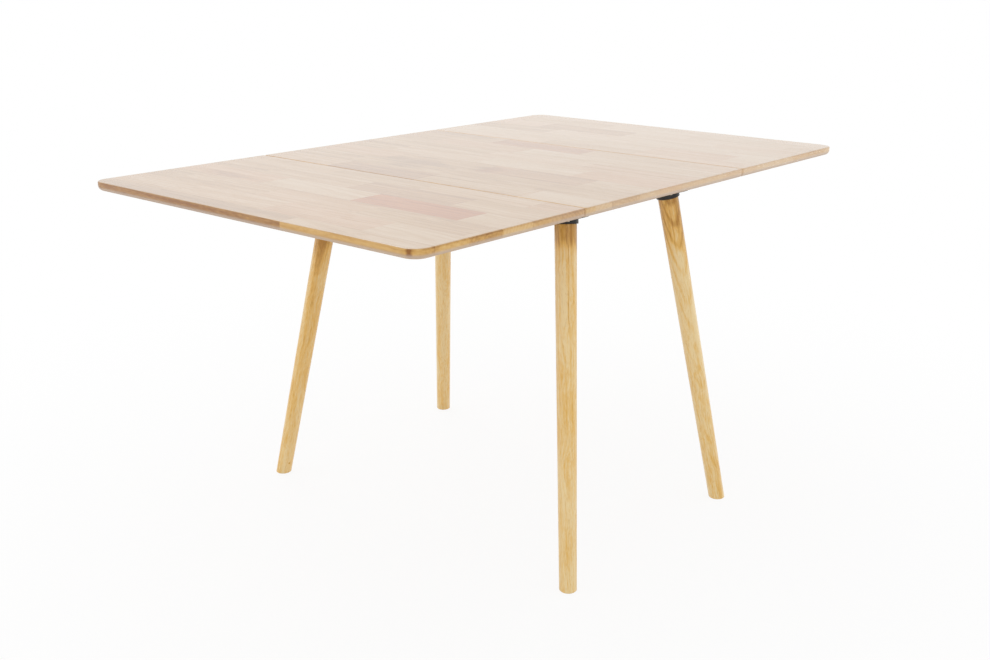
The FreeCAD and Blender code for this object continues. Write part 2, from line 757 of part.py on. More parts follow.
# ------------------------------------------------------------ butt hinges
def make_hinge_leaf(label, knuckles):
    """One half of a butt hinge, reaching along +X from the pin axis, with the numbered knuckles of five."""
    body = new_body(label)
    flap = new_sketch(body, label + "_flap")
    add_rectangle(flap, "0", "hinge_leaf_width", "-hinge_length / 2", "hinge_length / 2")
    base = pad(body, flap, "hinge_leaf_thickness", symmetric=True)
    far = number("hinge_leaf_width")

    def far_corner(edge):
        return upright(edge) and abs(edge.CenterOfMass.x - far) < 0.01

    fillet(body, base, far_corner, "hinge_corner")
    barrel = new_sketch(body, label + "_barrel", "XZ_Plane")
    add_circle(barrel, "0", "0", "knuckle_radius")
    pad(body, barrel, "hinge_length", symmetric=True)
    gaps = new_sketch(body, label + "_gaps")
    for knuckle in sorted(set(range(KNUCKLES)) - set(knuckles)):
        below = "knuckle_end_cut" if knuckle == 0 else "knuckle_gap / 2"
        above = "knuckle_end_cut" if knuckle == KNUCKLES - 1 else "knuckle_gap / 2"
        low = f"({knuckle} - {KNUCKLES} / 2) * {KNUCKLE_PITCH} - {below}"
        high = f"({knuckle + 1} - {KNUCKLES} / 2) * {KNUCKLE_PITCH} + {above}"
        add_rectangle(gaps, f"-{HINGE_REACH}", HINGE_REACH, low, high)
    pocket(body, gaps, symmetric=True)
    bore = new_sketch(body, label + "_bore", "XZ_Plane")
    add_circle(bore, "0", "0", "pin_radius + running_clearance")
    pocket(body, bore, symmetric=True)
    holes = new_sketch(body, label + "_holes")
    add_circle(holes, "hinge_screw_near", "0", "screw_hole_radius")
    add_circle(holes, "hinge_screw_far", "hinge_screw_pitch", "screw_hole_radius")
    add_circle(holes, "hinge_screw_far", "-hinge_screw_pitch", "screw_hole_radius")
    base = pocket(body, holes, symmetric=True)
    mouth = round_at(number("screw_hole_radius"), -number("hinge_leaf_thickness") / 2)
    chamfer(body, base, mouth, "screw_head_radius + running_clearance - screw_hole_radius")
    return body


def hinge_place(side, row):
    return (SIDES[side] * HINGE_X, HINGE_PLACES[row] * number("hinge_offset_y"), HINGE_LEVEL)


def make_hinges():
    """Three hinges on each seam: a fixed half under the centre board and a moving half under the leaf."""
    halves = []
    for side, way in SIDES.items():
        for row in HINGE_PLACES:
            fixed = make_hinge_leaf(f"{side}_{row}_hinge_fixed_half", (0, 2, 4))
            moving = make_hinge_leaf(f"{side}_{row}_hinge_moving_half", (1, 3))
            halves.append(place(fixed, hinge_place(side, row), turn=90 + 90 * way))
            halves.append(place(moving, hinge_place(side, row), turn=90 - 90 * way))
    return halves


def make_hinge_pins(side):
    half = number("hinge_length / 2")
    radius = number("pin_radius")
    head, depth = number("pin_head_radius"), number("pin_head_length")
    pin = turned_solid([
        (0, -half - depth),
        (head, -half - depth),
        (head, -half),
        (radius, -half),
        (radius, half),
        (head, half),
        (head, half + depth),
        (0, half + depth),
    ])
    along_seam = FreeCAD.Rotation(X_AXIS, 90)
    shapes = [moved(pin, hinge_place(side, row), along_seam) for row in HINGE_PLACES]
    return group(f"{side}_hinge_pins", shapes)


def hinge_screws(side, way):
    """The nine screws of one row of hinge halves, way being +1 on the seam's +X side."""
    screw = countersunk_screw(number("pilot_depth"))
    seam = SIDES[side] * HINGE_X
    level = HINGE_LEVEL - number("hinge_leaf_thickness / 2")
    places = hinge_screw_places(str(seam), way)
    return [moved(screw, (number(x), number(y), level)) for x, y in places]


# ------------------------------------------------------------ stays, studs, brackets and rivets
def make_stay(end, side):
    """A slotted bar, drawn along +X from its pivot, with a notch in the slot's upper edge at the far end."""
    label = f"{end}_{side}_stay"
    body = new_body(label)
    outline = new_sketch(body, label + "_outline", "XZ_Plane")
    half_width = "stay_width / 2"
    add_slot(outline, "0", f"{STAY_REACH_OPEN} + stay_end_length", half_width)
    pad(body, outline, "stay_thickness", symmetric=True)
    slot = new_sketch(body, label + "_slot", "XZ_Plane")
    first = f"{STAY_REACH_FOLDED} - slot_end_clearance"
    last = f"{STAY_REACH_OPEN} + slot_end_clearance / 2"
    add_slot(slot, first, last, SLOT_RADIUS)
    pocket(body, slot, symmetric=True)
    notch = new_sketch(body, label + "_notch", "XZ_Plane")
    near = f"{last} - {SLOT_RADIUS}"
    far = f"{last} + {SLOT_RADIUS}"
    add_rectangle(notch, near, far, "0", f"{SLOT_RADIUS} + notch_depth")
    pocket(body, notch, symmetric=True)
    eye = new_sketch(body, label + "_eye", "XZ_Plane")
    add_circle(eye, "0", "0", "stud_radius + running_clearance")
    pocket(body, eye, symmetric=True)
    x = SIDES[side] * (HINGE_X + PIVOT_OUT)
    y = ENDS[end] * number("stay_offset")
    turn = 90 + 90 * SIDES[side]
    return place(body, (x, y, PIVOT_LEVEL), turn=turn, tilt=STAY_SLOPE)


def outward_rotation(end):
    """Turns a piece that is drawn along +Z so that it points out towards the front or the rear."""
    return FreeCAD.Rotation(X_AXIS, -90 * ENDS[end])


def make_stay_studs():
    """Shouldered studs: a thread in the bearer, a collar, a plain shoulder in the slot and a flat head."""
    face = number("bearer_offset + bearer_thickness / 2")
    inner = number("stay_offset - stay_thickness / 2 - washer_gap") - face
    outer = number("stay_offset + stay_thickness / 2 + washer_gap") - face
    thread, depth = number("screw_radius"), number("stud_thread_length")
    shoulder, collar = number("stud_radius"), number("stud_collar_radius")
    head, length = number("stud_head_radius"), number("stud_head_length")
    edge = number("head_edge")
    stud = turned_solid([
        (0, -depth),
        (thread, -depth + thread),
        (thread, 0),
        (collar, 0),
        (collar, inner),
        (shoulder, inner),
        (shoulder, outer),
        (head, outer),
        (head, outer + length - edge),
        (head - edge, outer + length),
        (0, outer + length),
    ])
    shapes = []
    for end, side in CORNERS:
        x = SIDES[side] * (HINGE_X - STUD_IN)
        shapes.append(moved(stud, (x, ENDS[end] * face, HINGE_LEVEL - STUD_DROP), outward_rotation(end)))
    return group("stay_studs", shapes)


def make_stay_bracket(end, side):
    """The angle bracket under the leaf: a round-ended tab in front of the pivot, and a flange behind it."""
    label = f"{end}_{side}_stay_bracket"
    body = new_body(label)
    tab = new_sketch(body, label + "_tab", "XZ_Plane")
    reach = "bracket_tab_radius"
    add_outline(tab, [
        (f"-{reach}", BRACKET_RISE),
        (f"-{reach}", "0", reach, "0", "0"),
        ("0", f"-{reach}", reach, "0", "0"),
        (reach, "0"),
        (reach, BRACKET_RISE),
    ])
    add_circle(tab, "0", "0", "stud_radius + running_clearance")
    pad(body, tab, "bracket_thickness", reverse=True)
    level = number(f"{BRACKET_RISE} - bracket_thickness")
    flange = new_sketch(body, label + "_flange", offset=raised(level))
    add_rectangle(flange, "-bracket_length / 2", "bracket_length / 2", "0", "bracket_width")
    base = pad(body, flange, "bracket_thickness")
    back = number("bracket_width")

    def back_corner(edge):
        return upright(edge) and abs(edge.CenterOfMass.y - back) < 0.01

    fillet(body, base, back_corner, "hinge_corner")
    holes = new_sketch(body, label + "_holes")
    add_circle(holes, "bracket_screw_pitch / 2", FLANGE_MIDDLE, "screw_hole_radius")
    add_circle(holes, "-bracket_screw_pitch / 2", FLANGE_MIDDLE, "screw_hole_radius")
    base = pocket(body, holes, reverse=True)
    mouth = round_at(number("screw_hole_radius"), level)
    chamfer(body, base, mouth, "screw_head_radius + running_clearance - screw_hole_radius")
    x = SIDES[side] * (HINGE_X + PIVOT_OUT)
    return place(body, (x, ENDS[end] * number(BRACKET_FACE), PIVOT_LEVEL), turn=90 + 90 * ENDS[end])


def make_stay_rivets(side):
    """The two rivets that hold one leaf's stays to their brackets, leaving the stays free to turn."""
    tab = number("bracket_thickness")
    length = tab + number("stay_thickness + 2 * washer_gap")
    shank, head, depth = number("stud_radius"), number("rivet_head_radius"), number("rivet_head_length")
    edge = number("head_edge")
    rivet = turned_solid([
        (0, -depth),
        (head - edge, -depth),
        (head, edge - depth),
        (head, 0),
        (shank, 0),
        (shank, length),
        (head, length),
        (head, length + depth - edge),
        (head - edge, length + depth),
        (0, length + depth),
    ])
    x = SIDES[side] * (HINGE_X + PIVOT_OUT)
    shapes = []
    for end, way in ENDS.items():
        y = way * (number(BRACKET_FACE) - tab)
        shapes.append(moved(rivet, (x, y, PIVOT_LEVEL), outward_rotation(end)))
    return group(f"{side}_stay_rivets", shapes)


def bracket_screws(side):
    """The four screws of one leaf's two stay brackets."""
    screw = countersunk_screw(number("pilot_depth"))
    level = UNDERSIDE - number("bracket_thickness")
    shapes = []
    for way in ENDS.values():
        y = way * number(f"{BRACKET_FACE} - {FLANGE_MIDDLE}")
        for step in (-1, 1):
            x = SIDES[side] * (HINGE_X + PIVOT_OUT) + step * number("bracket_screw_pitch / 2")
            shapes.append(moved(screw, (x, y, level)))
    return shapes


# ------------------------------------------------------------ the whole table
def make_table():
    """Makes every sub-part, each named by its Label."""
    parts = [make_centre_board()]
    parts += [make_leg_batten(end) for end in ENDS]
    parts += [make_stay_bearer(end) for end in ENDS]
    for end, side in CORNERS:
        parts += [make_leg(end, side), make_leg_plate(end, side)]
        parts += [make_stay(end, side), make_stay_bracket(end, side)]
    parts += [make_hanger_bolts(), make_plate_screws(), make_frame_screws(), make_stay_studs()]
    parts += make_hinges()
    centre_screws = []
    for side, way in SIDES.items():
        parts += [make_leaf(side), make_hinge_pins(side), make_stay_rivets(side)]
        parts.append(group(f"{side}_leaf_screws", hinge_screws(side, way) + bracket_screws(side)))
        centre_screws += hinge_screws(side, -way)
    parts.append(group("centre_hinge_screws", centre_screws))
    return parts


def check(parts):
    """Stops if a feature failed, or if a sub-part is not made of sound solids."""
    for thing in DOC.Objects:
        if {"Invalid", "Error"} & set(thing.State):
            raise RuntimeError(f"{thing.Label} failed to recompute")
    for part in parts:
        shape = part.Shape
        if shape.isNull() or not shape.isValid() or not shape.Solids:
            raise RuntimeError(f"{part.Label} is not a sound solid")


def main():
    parts = make_table()
    DOC.recompute()
    check(parts)
    os.makedirs("parts", exist_ok=True)
    for part in parts:
        part.Shape.exportStep(f"parts/{part.Label}.step")
    print(f"{len(parts)} sub-parts written")


main()
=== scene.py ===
"""Dresses the butterfly folding table: varnished staves, turned legs, steel fittings, and the stage."""
import math

import bmesh
import bpy
from bpy.props import FloatProperty, FloatVectorProperty, IntProperty, PointerProperty
from mathutils import Matrix, Vector


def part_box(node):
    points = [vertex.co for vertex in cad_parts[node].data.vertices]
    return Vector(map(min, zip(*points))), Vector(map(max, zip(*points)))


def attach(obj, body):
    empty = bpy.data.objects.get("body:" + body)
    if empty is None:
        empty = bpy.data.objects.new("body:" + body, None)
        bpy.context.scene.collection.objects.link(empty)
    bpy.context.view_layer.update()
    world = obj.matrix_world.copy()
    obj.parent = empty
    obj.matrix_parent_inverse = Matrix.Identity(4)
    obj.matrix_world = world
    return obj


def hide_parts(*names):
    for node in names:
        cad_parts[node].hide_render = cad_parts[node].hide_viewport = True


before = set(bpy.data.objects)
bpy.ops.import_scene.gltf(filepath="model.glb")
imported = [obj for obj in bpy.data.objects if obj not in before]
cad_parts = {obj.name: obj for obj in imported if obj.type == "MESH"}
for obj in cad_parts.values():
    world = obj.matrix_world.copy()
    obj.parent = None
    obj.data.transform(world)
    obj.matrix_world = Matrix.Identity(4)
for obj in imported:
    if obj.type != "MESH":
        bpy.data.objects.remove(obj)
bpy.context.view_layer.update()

bl_info = {
    "name": "Butterfly folding table",
    "version": (1, 0, 0),
    "blender": (4, 5, 0),
    "location": "3D View > Sidebar > Table",
    "description": "Finishes the wood and the metal fittings of a drop-leaf table, and sets its stage",
    "category": "Object",
}

BOARDS = ("left_leaf_board", "centre_board", "right_leaf_board")
ENDS = ("front", "rear")
SIDES = ("left", "right")
ROWS = ("front", "middle", "rear")
LEGS = [f"{end}_{side}_leg" for end in ENDS for side in SIDES]
BOARD_LOW, BOARD_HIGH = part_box("centre_board")
SEAM = (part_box("right_leaf_board")[0].x + BOARD_HIGH.x) / 2


# -------------------- sizes and colours a user would change
def colour(name, description, value):
    """A linear colour property."""
    return FloatVectorProperty(
        name=name, description=description, default=value, size=3, min=0, max=1, subtype="COLOR",
    )


def length(name, description, value):
    """A length property in metres."""
    return FloatProperty(name=name, description=description, default=value, unit="LENGTH", precision=5)


def place(name, description, value):
    """A property that is a point in metres."""
    return FloatVectorProperty(name=name, description=description, default=value, size=3, unit="LENGTH")


def power(name, description, value):
    """The power of a lamp, in watts."""
    return FloatProperty(name=name, description=description, default=value, min=0, unit="POWER")


def angle(name, description, degrees):
    """An angle property."""
    return FloatProperty(name=name, description=description, default=math.radians(degrees), subtype="ANGLE")


def share(name, description, value):
    """A property from 0 to 1."""
    return FloatProperty(name=name, description=description, default=value, min=0, max=1, subtype="FACTOR")


def random_seed(name, description, value):
    """A whole number that settles what is random."""
    return IntProperty(name=name, description=description, default=value)


class CameraSizes(bpy.types.PropertyGroup):
    place: place("Place", "Where the camera stands", (-1.8963, -1.6283, 1.1491))
    heading: angle("Heading", "Turn of the view from +Y towards +X", 49.31)
    pitch: angle("Pitch", "Turn of the view below the horizon", 17.35)
    roll: angle("Roll", "Turn of the camera about its own view line", 0.18)
    lens: FloatProperty(name="Lens", description="Focal length", default=43.28, unit="CAMERA")


class StageLooks(bpy.types.PropertyGroup):
    floor_size: length("Floor size", "Side of the square floor", 80.0)
    floor_colour: colour("Floor colour", "Colour of the pale floor", (0.94, 0.94, 0.94))
    floor_plain: share("Plain floor", "Share of plain white in the floor under the table, as seen", 0.89)
    ambient: FloatProperty(
        name="Ambient light", description="Strength of the white room", default=0.82, min=0,
    )
    key_power: power("Key light", "Power of the overhead softbox", 12)
    key_place: place("Key place", "Middle of the overhead softbox", (0.9, 2.1, 2.9))
    key_size: length("Key size", "Side of the overhead softbox", 1.6)
    side_power: power("Side light", "Power of the low softbox on the right", 28)
    side_place: place("Side place", "Middle of the low softbox on the right", (3.2, -1.5, 0.10))
    side_size: length("Side size", "Side of the low softbox on the right", 1.1)
    back_power: power("Back light", "Power of the softbox at the left and behind", 10)
    back_place: place("Back place", "Middle of the softbox at the left and behind", (-2.2, 2.2, 0.8))
    back_size: length("Back size", "Side of the softbox at the left and behind", 2.2)
    front_power: power("Front light", "Power of the softbox in front", 6)
    front_place: place("Front place", "Middle of the softbox in front", (-1.8, -2.9, 0.9))
    front_size: length("Front size", "Side of the softbox in front", 2.2)


class BoardLooks(bpy.types.PropertyGroup):
    pale: colour("Pale stave", "Palest wood of the top", (0.67, 0.480, 0.300))
    middle: colour("Middle stave", "Usual wood of the top", (0.575, 0.358, 0.168))
    dark: colour("Dark stave", "Darkest wood of the top", (0.425, 0.240, 0.105))
    rose: colour("Rose stave", "Pale grain of the reddish heartwood", (0.64, 0.260, 0.080))
    dark_rose: colour("Dark rose stave", "Dark grain of the reddish heartwood", (0.44, 0.135, 0.025))
    pale_edge: colour("Pale edge", "Palest wood of the cut edges", (0.82, 0.55, 0.20))
    middle_edge: colour("Middle edge", "Usual wood of the cut edges", (0.62, 0.34, 0.075))
    dark_edge: colour("Dark edge", "Darkest marks of the cut edges", (0.29, 0.100, 0.000))
    bleached_edge: colour("Bleached edge", "Pale end grain of the cut edges", (0.84, 0.65, 0.46))
    # Painted shade: the colour of the round below the edges stands for the shade it lies in above the
    # shadowed floor
    shaded_under_edge: colour("Under edge", "Thinly varnished round below the edges", (0.56, 0.44, 0.35))
    piece_length: length("Piece length", "Length of the pieces that make a stave", 0.255)
    contrast: share("Tone contrast", "How much the pieces differ from one another", 0.33)
    gloss: share("Varnish", "Weight of the clear varnish", 0.9)


class LegLooks(bpy.types.PropertyGroup):
    pale: colour("Pale grain", "Palest wood of the legs", (0.87, 0.67, 0.34))
    middle: colour("Middle grain", "Usual wood of the legs", (0.79, 0.468, 0.100))
    dark: colour("Dark grain", "Darkest streaks of the legs", (0.46, 0.205, 0.004))
    splay: FloatProperty(name="Splay", description="Lean along X and Y, per height", default=0.1477)
    gloss: share("Varnish", "Weight of the clear varnish", 0.5)


class UnderframeLooks(bpy.types.PropertyGroup):
    pale: colour("Pale grain", "Palest wood under the top", (0.70, 0.54, 0.35))
    middle: colour("Middle grain", "Usual wood under the top", (0.58, 0.41, 0.24))
    dark: colour("Dark grain", "Darkest wood under the top", (0.40, 0.26, 0.14))


class MetalLooks(bpy.types.PropertyGroup):
    black: colour("Black coat", "Colour of the coated leg plates", (0.018, 0.016, 0.015))
    stay_black: colour("Stay coat", "Colour of the coated stays and brackets", (0.028, 0.027, 0.027))
    zinc: colour("Zinc", "Colour of the plated hinges and screws", (0.60, 0.60, 0.58))
    zinc_warm: colour("Passivation", "Warm tint in the zinc plating", (0.62, 0.57, 0.46))


class ScrewSizes(bpy.types.PropertyGroup):
    shank: length("Shank radius", "Radius of the screw shanks", 0.00175)
    thread_depth: length("Thread depth", "Depth of the screw threads", 0.0004)
    thread_pitch: length("Thread pitch", "Distance from one turn of the thread to the next", 0.0016)
    countersunk_head: length("Countersunk head", "Radius of the flat heads", 0.00375)
    pan_head: length("Pan head", "Radius of the pan heads", 0.0045)
    pan_height: length("Pan height", "Height of the pan heads", 0.003)
    recess: length("Cross recess", "Length of the cross recess's arms", 0.0043)
    flat_seed: random_seed("Flat seed", "Seed of the turns at which the countersunk screws stopped", 4)
    pan_seed: random_seed("Pan seed", "Seed of the turns at which the pan-headed screws stopped", 7)


class TableLooks(bpy.types.PropertyGroup):
    camera: PointerProperty(type=CameraSizes)
    stage: PointerProperty(type=StageLooks)
    boards: PointerProperty(type=BoardLooks)
    legs: PointerProperty(type=LegLooks)
    underframe: PointerProperty(type=UnderframeLooks)
    metal: PointerProperty(type=MetalLooks)
    screws: PointerProperty(type=ScrewSizes)


# -------------------- node trees, written as formulas
class Value:
    """An output of a node; +, -, *, / and abs() on it add the Math node that works them out."""

    def __init__(self, steps, socket):
        self.steps = steps
        self.socket = socket

    def __add__(self, other):
        return self.steps.math("ADD", self, other)

    def __sub__(self, other):
        return self.steps.math("SUBTRACT", self, other)

    def __rsub__(self, other):
        return self.steps.math("SUBTRACT", other, self)

    def __mul__(self, other):
        return self.steps.math("MULTIPLY", self, other)

    def __truediv__(self, other):
        return self.steps.math("DIVIDE", self, other)

    def __abs__(self):
        return self.steps.math("ABSOLUTE", self)

    __radd__ = __add__
    __rmul__ = __mul__


class Steps:
    """Adds nodes to a tree one after another, and joins each to what it reads."""

    def __init__(self, tree):
        self.tree = tree

    def feed(self, socket, value):
        """Joins a Value to a socket, or sets what is the same everywhere on it."""
        if isinstance(value, Value):
            self.tree.links.new(value.socket, socket)
        else:
            socket.default_value = value

    def add(self, kind, inputs=None, **settings):
        """Adds a node and returns its outputs as Values, by name and by number."""
        node = self.tree.nodes.new(kind)
        for name, value in settings.items():
            setattr(node, name, value)
        for socket, value in (inputs or {}).items():
            self.feed(node.inputs[socket], value)
        outputs = {name: Value(self, socket) for name, socket in reversed(node.outputs.items())}
        return outputs | {i: Value(self, socket) for i, socket in enumerate(node.outputs)}

    def open_sockets(self, way, kind, *names):
        """Gives a node group inputs or outputs of one kind."""
        for name in names:
            self.tree.interface.new_socket(name, in_out=way, socket_type="NodeSocket" + kind)

    def math(self, operation, *values):
        return self.add("ShaderNodeMath", dict(enumerate(values)), operation=operation)[0]

    def vector(self, operation, *values):
        return self.add("ShaderNodeVectorMath", dict(enumerate(values)), operation=operation)[0]

    def join(self, x, y, z=0.0):
        return self.add("ShaderNodeCombineXYZ", {0: x, 1: y, 2: z})[0]

    def split(self, vector):
        outputs = self.add("ShaderNodeSeparateXYZ", {0: vector})
        return [outputs[i] for i in range(3)]

    def split_colour(self, tint):
        outputs = self.add("ShaderNodeSeparateColor", {0: tint})
        return [outputs[i] for i in range(3)]

    def distance(self, vector):
        """How long a vector is."""
        return self.add("ShaderNodeVectorMath", {0: vector}, operation="LENGTH")["Value"]

    def noise(self, point, scales, detail=2.0, roughness=0.5, offset=(0, 0, 0)):
        """Smooth noise of mean 0.5, with its own scale along each axis."""
        at = self.vector("MULTIPLY_ADD", point, scales, offset)
        inputs = {"Vector": at, "Scale": 1.0, "Detail": detail, "Roughness": roughness}
        return self.add("ShaderNodeTexNoise", inputs)[0]

    def chance(self, x, y, z):
        """Three random values that are the same wherever x, y and z are."""
        return self.split(self.add("ShaderNodeTexWhiteNoise", {"Vector": self.join(x, y, z)})["Color"])

    def spread(self, value, low, high, to_low=0.0, to_high=1.0):
        """Eases from one number to another as a value goes from low to high."""
        inputs = {0: value, 1: low, 2: high, 3: to_low, 4: to_high}
        return self.add("ShaderNodeMapRange", inputs, interpolation_type="SMOOTHSTEP")[0]

    def blend(self, factor, first, second):
        """Mixes two colours. The Mix node names its sockets alike for each kind, so they go by number."""
        return self.add("ShaderNodeMix", {0: factor, 6: first, 7: second}, data_type="RGBA")[2]

    def ramp(self, value, stops, interpolation="LINEAR"):
        """Turns a value into a colour, from (value, colour) stops."""
        node = self.tree.nodes.new("ShaderNodeValToRGB")
        self.feed(node.inputs[0], value)
        elements = node.color_ramp.elements
        node.color_ramp.interpolation = interpolation
        for position, tint in stops[2:]:
            elements.new(position)
        for element, (position, tint) in zip(elements, stops):
            element.position = position
            element.color = solid(tint)
        return Value(self, node.outputs[0])


def solid(tint):
    """A colour with its opacity."""
    return (*tint, 1.0)


WHITE = solid((1.0, 1.0, 1.0))


class Finish(Steps):
    """The node tree of a new material, with its shader."""

    def __init__(self, name):
        self.material = bpy.data.materials.new(name)
        self.material.use_nodes = True
        super().__init__(self.material.node_tree)
        self.shader = self.tree.nodes["Principled BSDF"]

    def place(self):
        """The point in the object's own coordinates, which are the table's."""
        return self.add("ShaderNodeTexCoord")["Object"]

    def coat(self, **sockets):
        """Sets or joins the shader's sockets, named with _ for a blank."""
        for name, value in sockets.items():
            self.feed(self.shader.inputs[name.replace("_", " ")], value)

    def raise_by(self, height, distance, strength):
        """Lets a height pattern tilt the surface."""
        bump = self.add("ShaderNodeBump", {"Strength": strength, "Distance": distance, "Height": height})
        self.feed(self.shader.inputs["Normal"], bump[0])


# -------------------- wood
RING_WIDTH = 0.0075
RING_SHARPNESS = 2.2
# How far a growth ring sways along the stick, leans across it, and wavers with all its grain
SWAY, SWAY_SCALES = 0.016, (7, 7, 1.5)
LEAN = 0.10
WAVER, WAVER_SCALES = 0.011, (17, 17, 9)
SEED_SPREAD = 40.0
# The figure's parts: cells per metre across and along the grain, detail and roughness of its noise
FIGURE = {
    "bands": (46, 3.2, 2.0, 0.5),
    "lines": (250, 6, 4.0, 0.65),
    "flecks": (420, 75, 2.0, 0.6),
    "clouds": (34, 9, 1.0, 0.5),
    "pores": (1300, 55, 1.0, 0.5),
}
PORE_SHARE = (0.60, 0.74)


def wood_figure(steps, across, through, along, seed, heart, lean=LEAN):
    """The parts of a stick's figure, each from 0 to 1, at a point given across, through and along the grain.

    seed is a random vector that sets one stick of wood apart from the next, and heart is how far its
    growth rings' centre lies from the stick, across and through.
    """
    offset = steps.add("ShaderNodeVectorMath", {0: seed, "Scale": SEED_SPREAD}, operation="SCALE")[0]
    straight = steps.join(across, through, along)
    shift = (steps.noise(straight, WAVER_SCALES, 1.0, offset=offset) - 0.5) * (2 * WAVER)
    at = steps.join(across + shift, through - shift, along)
    figure = {}
    for part, (cells_across, cells_along, detail, roughness) in FIGURE.items():
        scales = (cells_across, cells_across, cells_along)
        figure[part] = steps.noise(at, scales, detail, roughness, offset)
    figure["pores"] = steps.spread(figure["pores"], *PORE_SHARE)
    own_lean, _, phase = steps.split(seed)
    sway = (steps.noise(at, SWAY_SCALES, 1.0, offset=offset) - 0.5) * (2 * SWAY)
    drift = along * ((own_lean - 0.5) * lean)
    radius = steps.distance(steps.join(across - heart[0] + sway + drift, through - heart[1] + sway))
    turns = radius * (math.tau / RING_WIDTH) + phase * math.tau
    figure["rings"] = steps.math("POWER", steps.math("SINE", turns) * 0.5 + 0.5, RING_SHARPNESS)
    return figure


def wood_tone(base, figure, **weights):
    """Adds the figure to a base tone, each part with its own weight."""
    tone = base
    for part, weight in weights.items():
        tone = (figure[part] - 0.5) * weight + tone
    return tone


def wood_colour(finish, tone, figure, looks, pore_depth):
    """Turns a tone into the wood's colour, darker in its pores."""
    tint = finish.ramp(tone, [(0.0, looks.pale), (0.5, looks.middle), (1.0, looks.dark)])
    return finish.blend(figure["pores"] * pore_depth, tint, solid(looks.dark))


def raise_grain(finish, figure, line_height, distance, strength):
    """Lets the grain's lines stand up from the surface and its pores sink in."""
    finish.raise_by(figure["lines"] * line_height - figure["pores"], distance, strength)


# -------------------- the glued boards of the top
# Each board: first stave's edge, stave width, seed, mean tone, and where the pieces of each stave meet, as a
# share of a piece
STAVES = {
    "left_leaf_board": (-0.7225, 0.0775, 3.0, 0.48, (0.51, 0.92, 0.35, 0.69, 0.06, 0.62)),
    "centre_board": (-0.268, 0.0766, 11.0, 0.46, (0.92, 0.00, 0.84, 0.12, 0.32, 0.20, 0.73)),
    # The right leaf's mean tone is paler than the others' as a painted sheen, standing for the brighter
    # grazing reflection on that leaf
    "right_leaf_board": (0.2475, 0.0775, 23.0, 0.27, (0.40, 0.63, 0.78, 0.10, 0.55, 0.26)),
}
PALE, LIGHT, DARK = 0.22, 0.37, 0.76
# Pieces chosen for their place, board by board: stave, from, to (along Y), tone, rose
CHOSEN = {
    "left_leaf_board": (
        (0, -0.125, 0.440, DARK, 0.0), (0, -0.440, -0.125, LIGHT, 0.0), (1, -0.440, -0.275, PALE, 0.0),
        (3, -0.335, -0.080, 0.70, 1.0), (3, -0.080, 0.170, PALE, 0.0), (3, -0.440, -0.335, PALE, 0.0),
        (4, -0.245, 0.015, 0.70, 0.15),
    ),
    "centre_board": (
        (0, -0.020, 0.230, 0.76, 0.15), (0, -0.440, -0.280, PALE, 0.0), (2, -0.295, -0.100, 0.78, 0.2),
        (2, -0.440, -0.295, LIGHT, 0.0), (3, -0.220, 0.030, PALE, 0.0), (5, -0.205, 0.050, PALE, 0.0),
        (6, -0.070, 0.185, 0.80, 0.55),
    ),
    "right_leaf_board": (
        (1, -0.150, 0.360, PALE, 0.0), (2, 0.200, 0.440, 0.66, 0.0), (3, 0.020, 0.280, 0.66, 0.1),
    ),
}
# The number that a chosen piece has is where it starts times this, so that no two have the same
CHOSEN_NUMBER = 100.0
ROSE_MOST, ROSE_RARITY, ROSE_COVER = 0.35, 3.0, 0.85
GLUE_LINE, GLUE_DARKER = 0.0006, 0.5
# Knots and the darker growth round them, board by board: x, y, half width, half length, how much darker
KNOTS = {
    "left_leaf_board": ((-0.553, -0.150, 0.0025, 0.005, 1.0), (-0.470, 0.290, 0.025, 0.180, 0.50)),
    "centre_board": (
        (-0.090, -0.055, 0.0085, 0.017, 1.0), (-0.246, 0.139, 0.003, 0.006, 1.0),
        (-0.211, -0.074, 0.003, 0.006, 1.0), (-0.090, -0.050, 0.045, 0.060, 0.40),
        (-0.125, 0.130, 0.085, 0.170, 0.55), (-0.240, 0.110, 0.045, 0.150, 0.20),
        (0.255, 0.310, 0.035, 0.200, 0.55),
    ),
    "right_leaf_board": (),
}
KNOT_BEND_SCALES = (20, 11, 1)
# How much the growth round a knot follows the bands of the figure, and how much of it is there between them
GROWTH_STREAKS, GROWTH_BETWEEN = 1.6, 0.2
# Where a stave's growth rings may have their centre, across and through the board: nearest and range
HEART_ACROSS, HEART_THROUGH = (-0.08, 0.16), (-0.018, -0.11)

# The cut edges along X: (x, warmth, bleach, darker) where each stretch begins
EDGE_STRETCHES = (
    (-0.700, 0.98, 0.00, 0.08), (-0.655, 0.98, 0.00, 0.18), (-0.489, 0.75, 0.15, 0.06),
    (-0.403, 0.75, 0.20, 0.08), (-0.371, 0.55, 0.35, 0.16), (-0.245, 0.28, 0.40, 0.05),
    (-0.104, 0.20, 0.50, 0.00), (0.200, 0.14, 0.40, 0.00), (0.480, 0.20, 0.25, 0.00),
)
# Dark marks in the cut edges: x, y, radius, tone
EDGE_MARKS = ((-0.683, -0.417, 0.008, 0.75), (-0.640, -0.434, 0.010, 0.20))
EDGE_MOTTLE_SCALES = (150, 60, 260)
# The tone of a cut edge: how much of the face's tone and of its own mottle it takes, how much paler it is
# all over, and how much darker along the arris
EDGE_FACE, EDGE_MOTTLE, EDGE_PALER, ARRIS_DARKER = 1.35, 0.60, 0.45, 0.30
# How much of a piece's figure still shows on its cut edge, how much of the edge lost its clear coat, and how
# strongly the round below takes its painted shade colour
EDGE_CALM, EDGE_BARE, ROUND_SHADE_COVER = 0.35, 0.7, 0.85
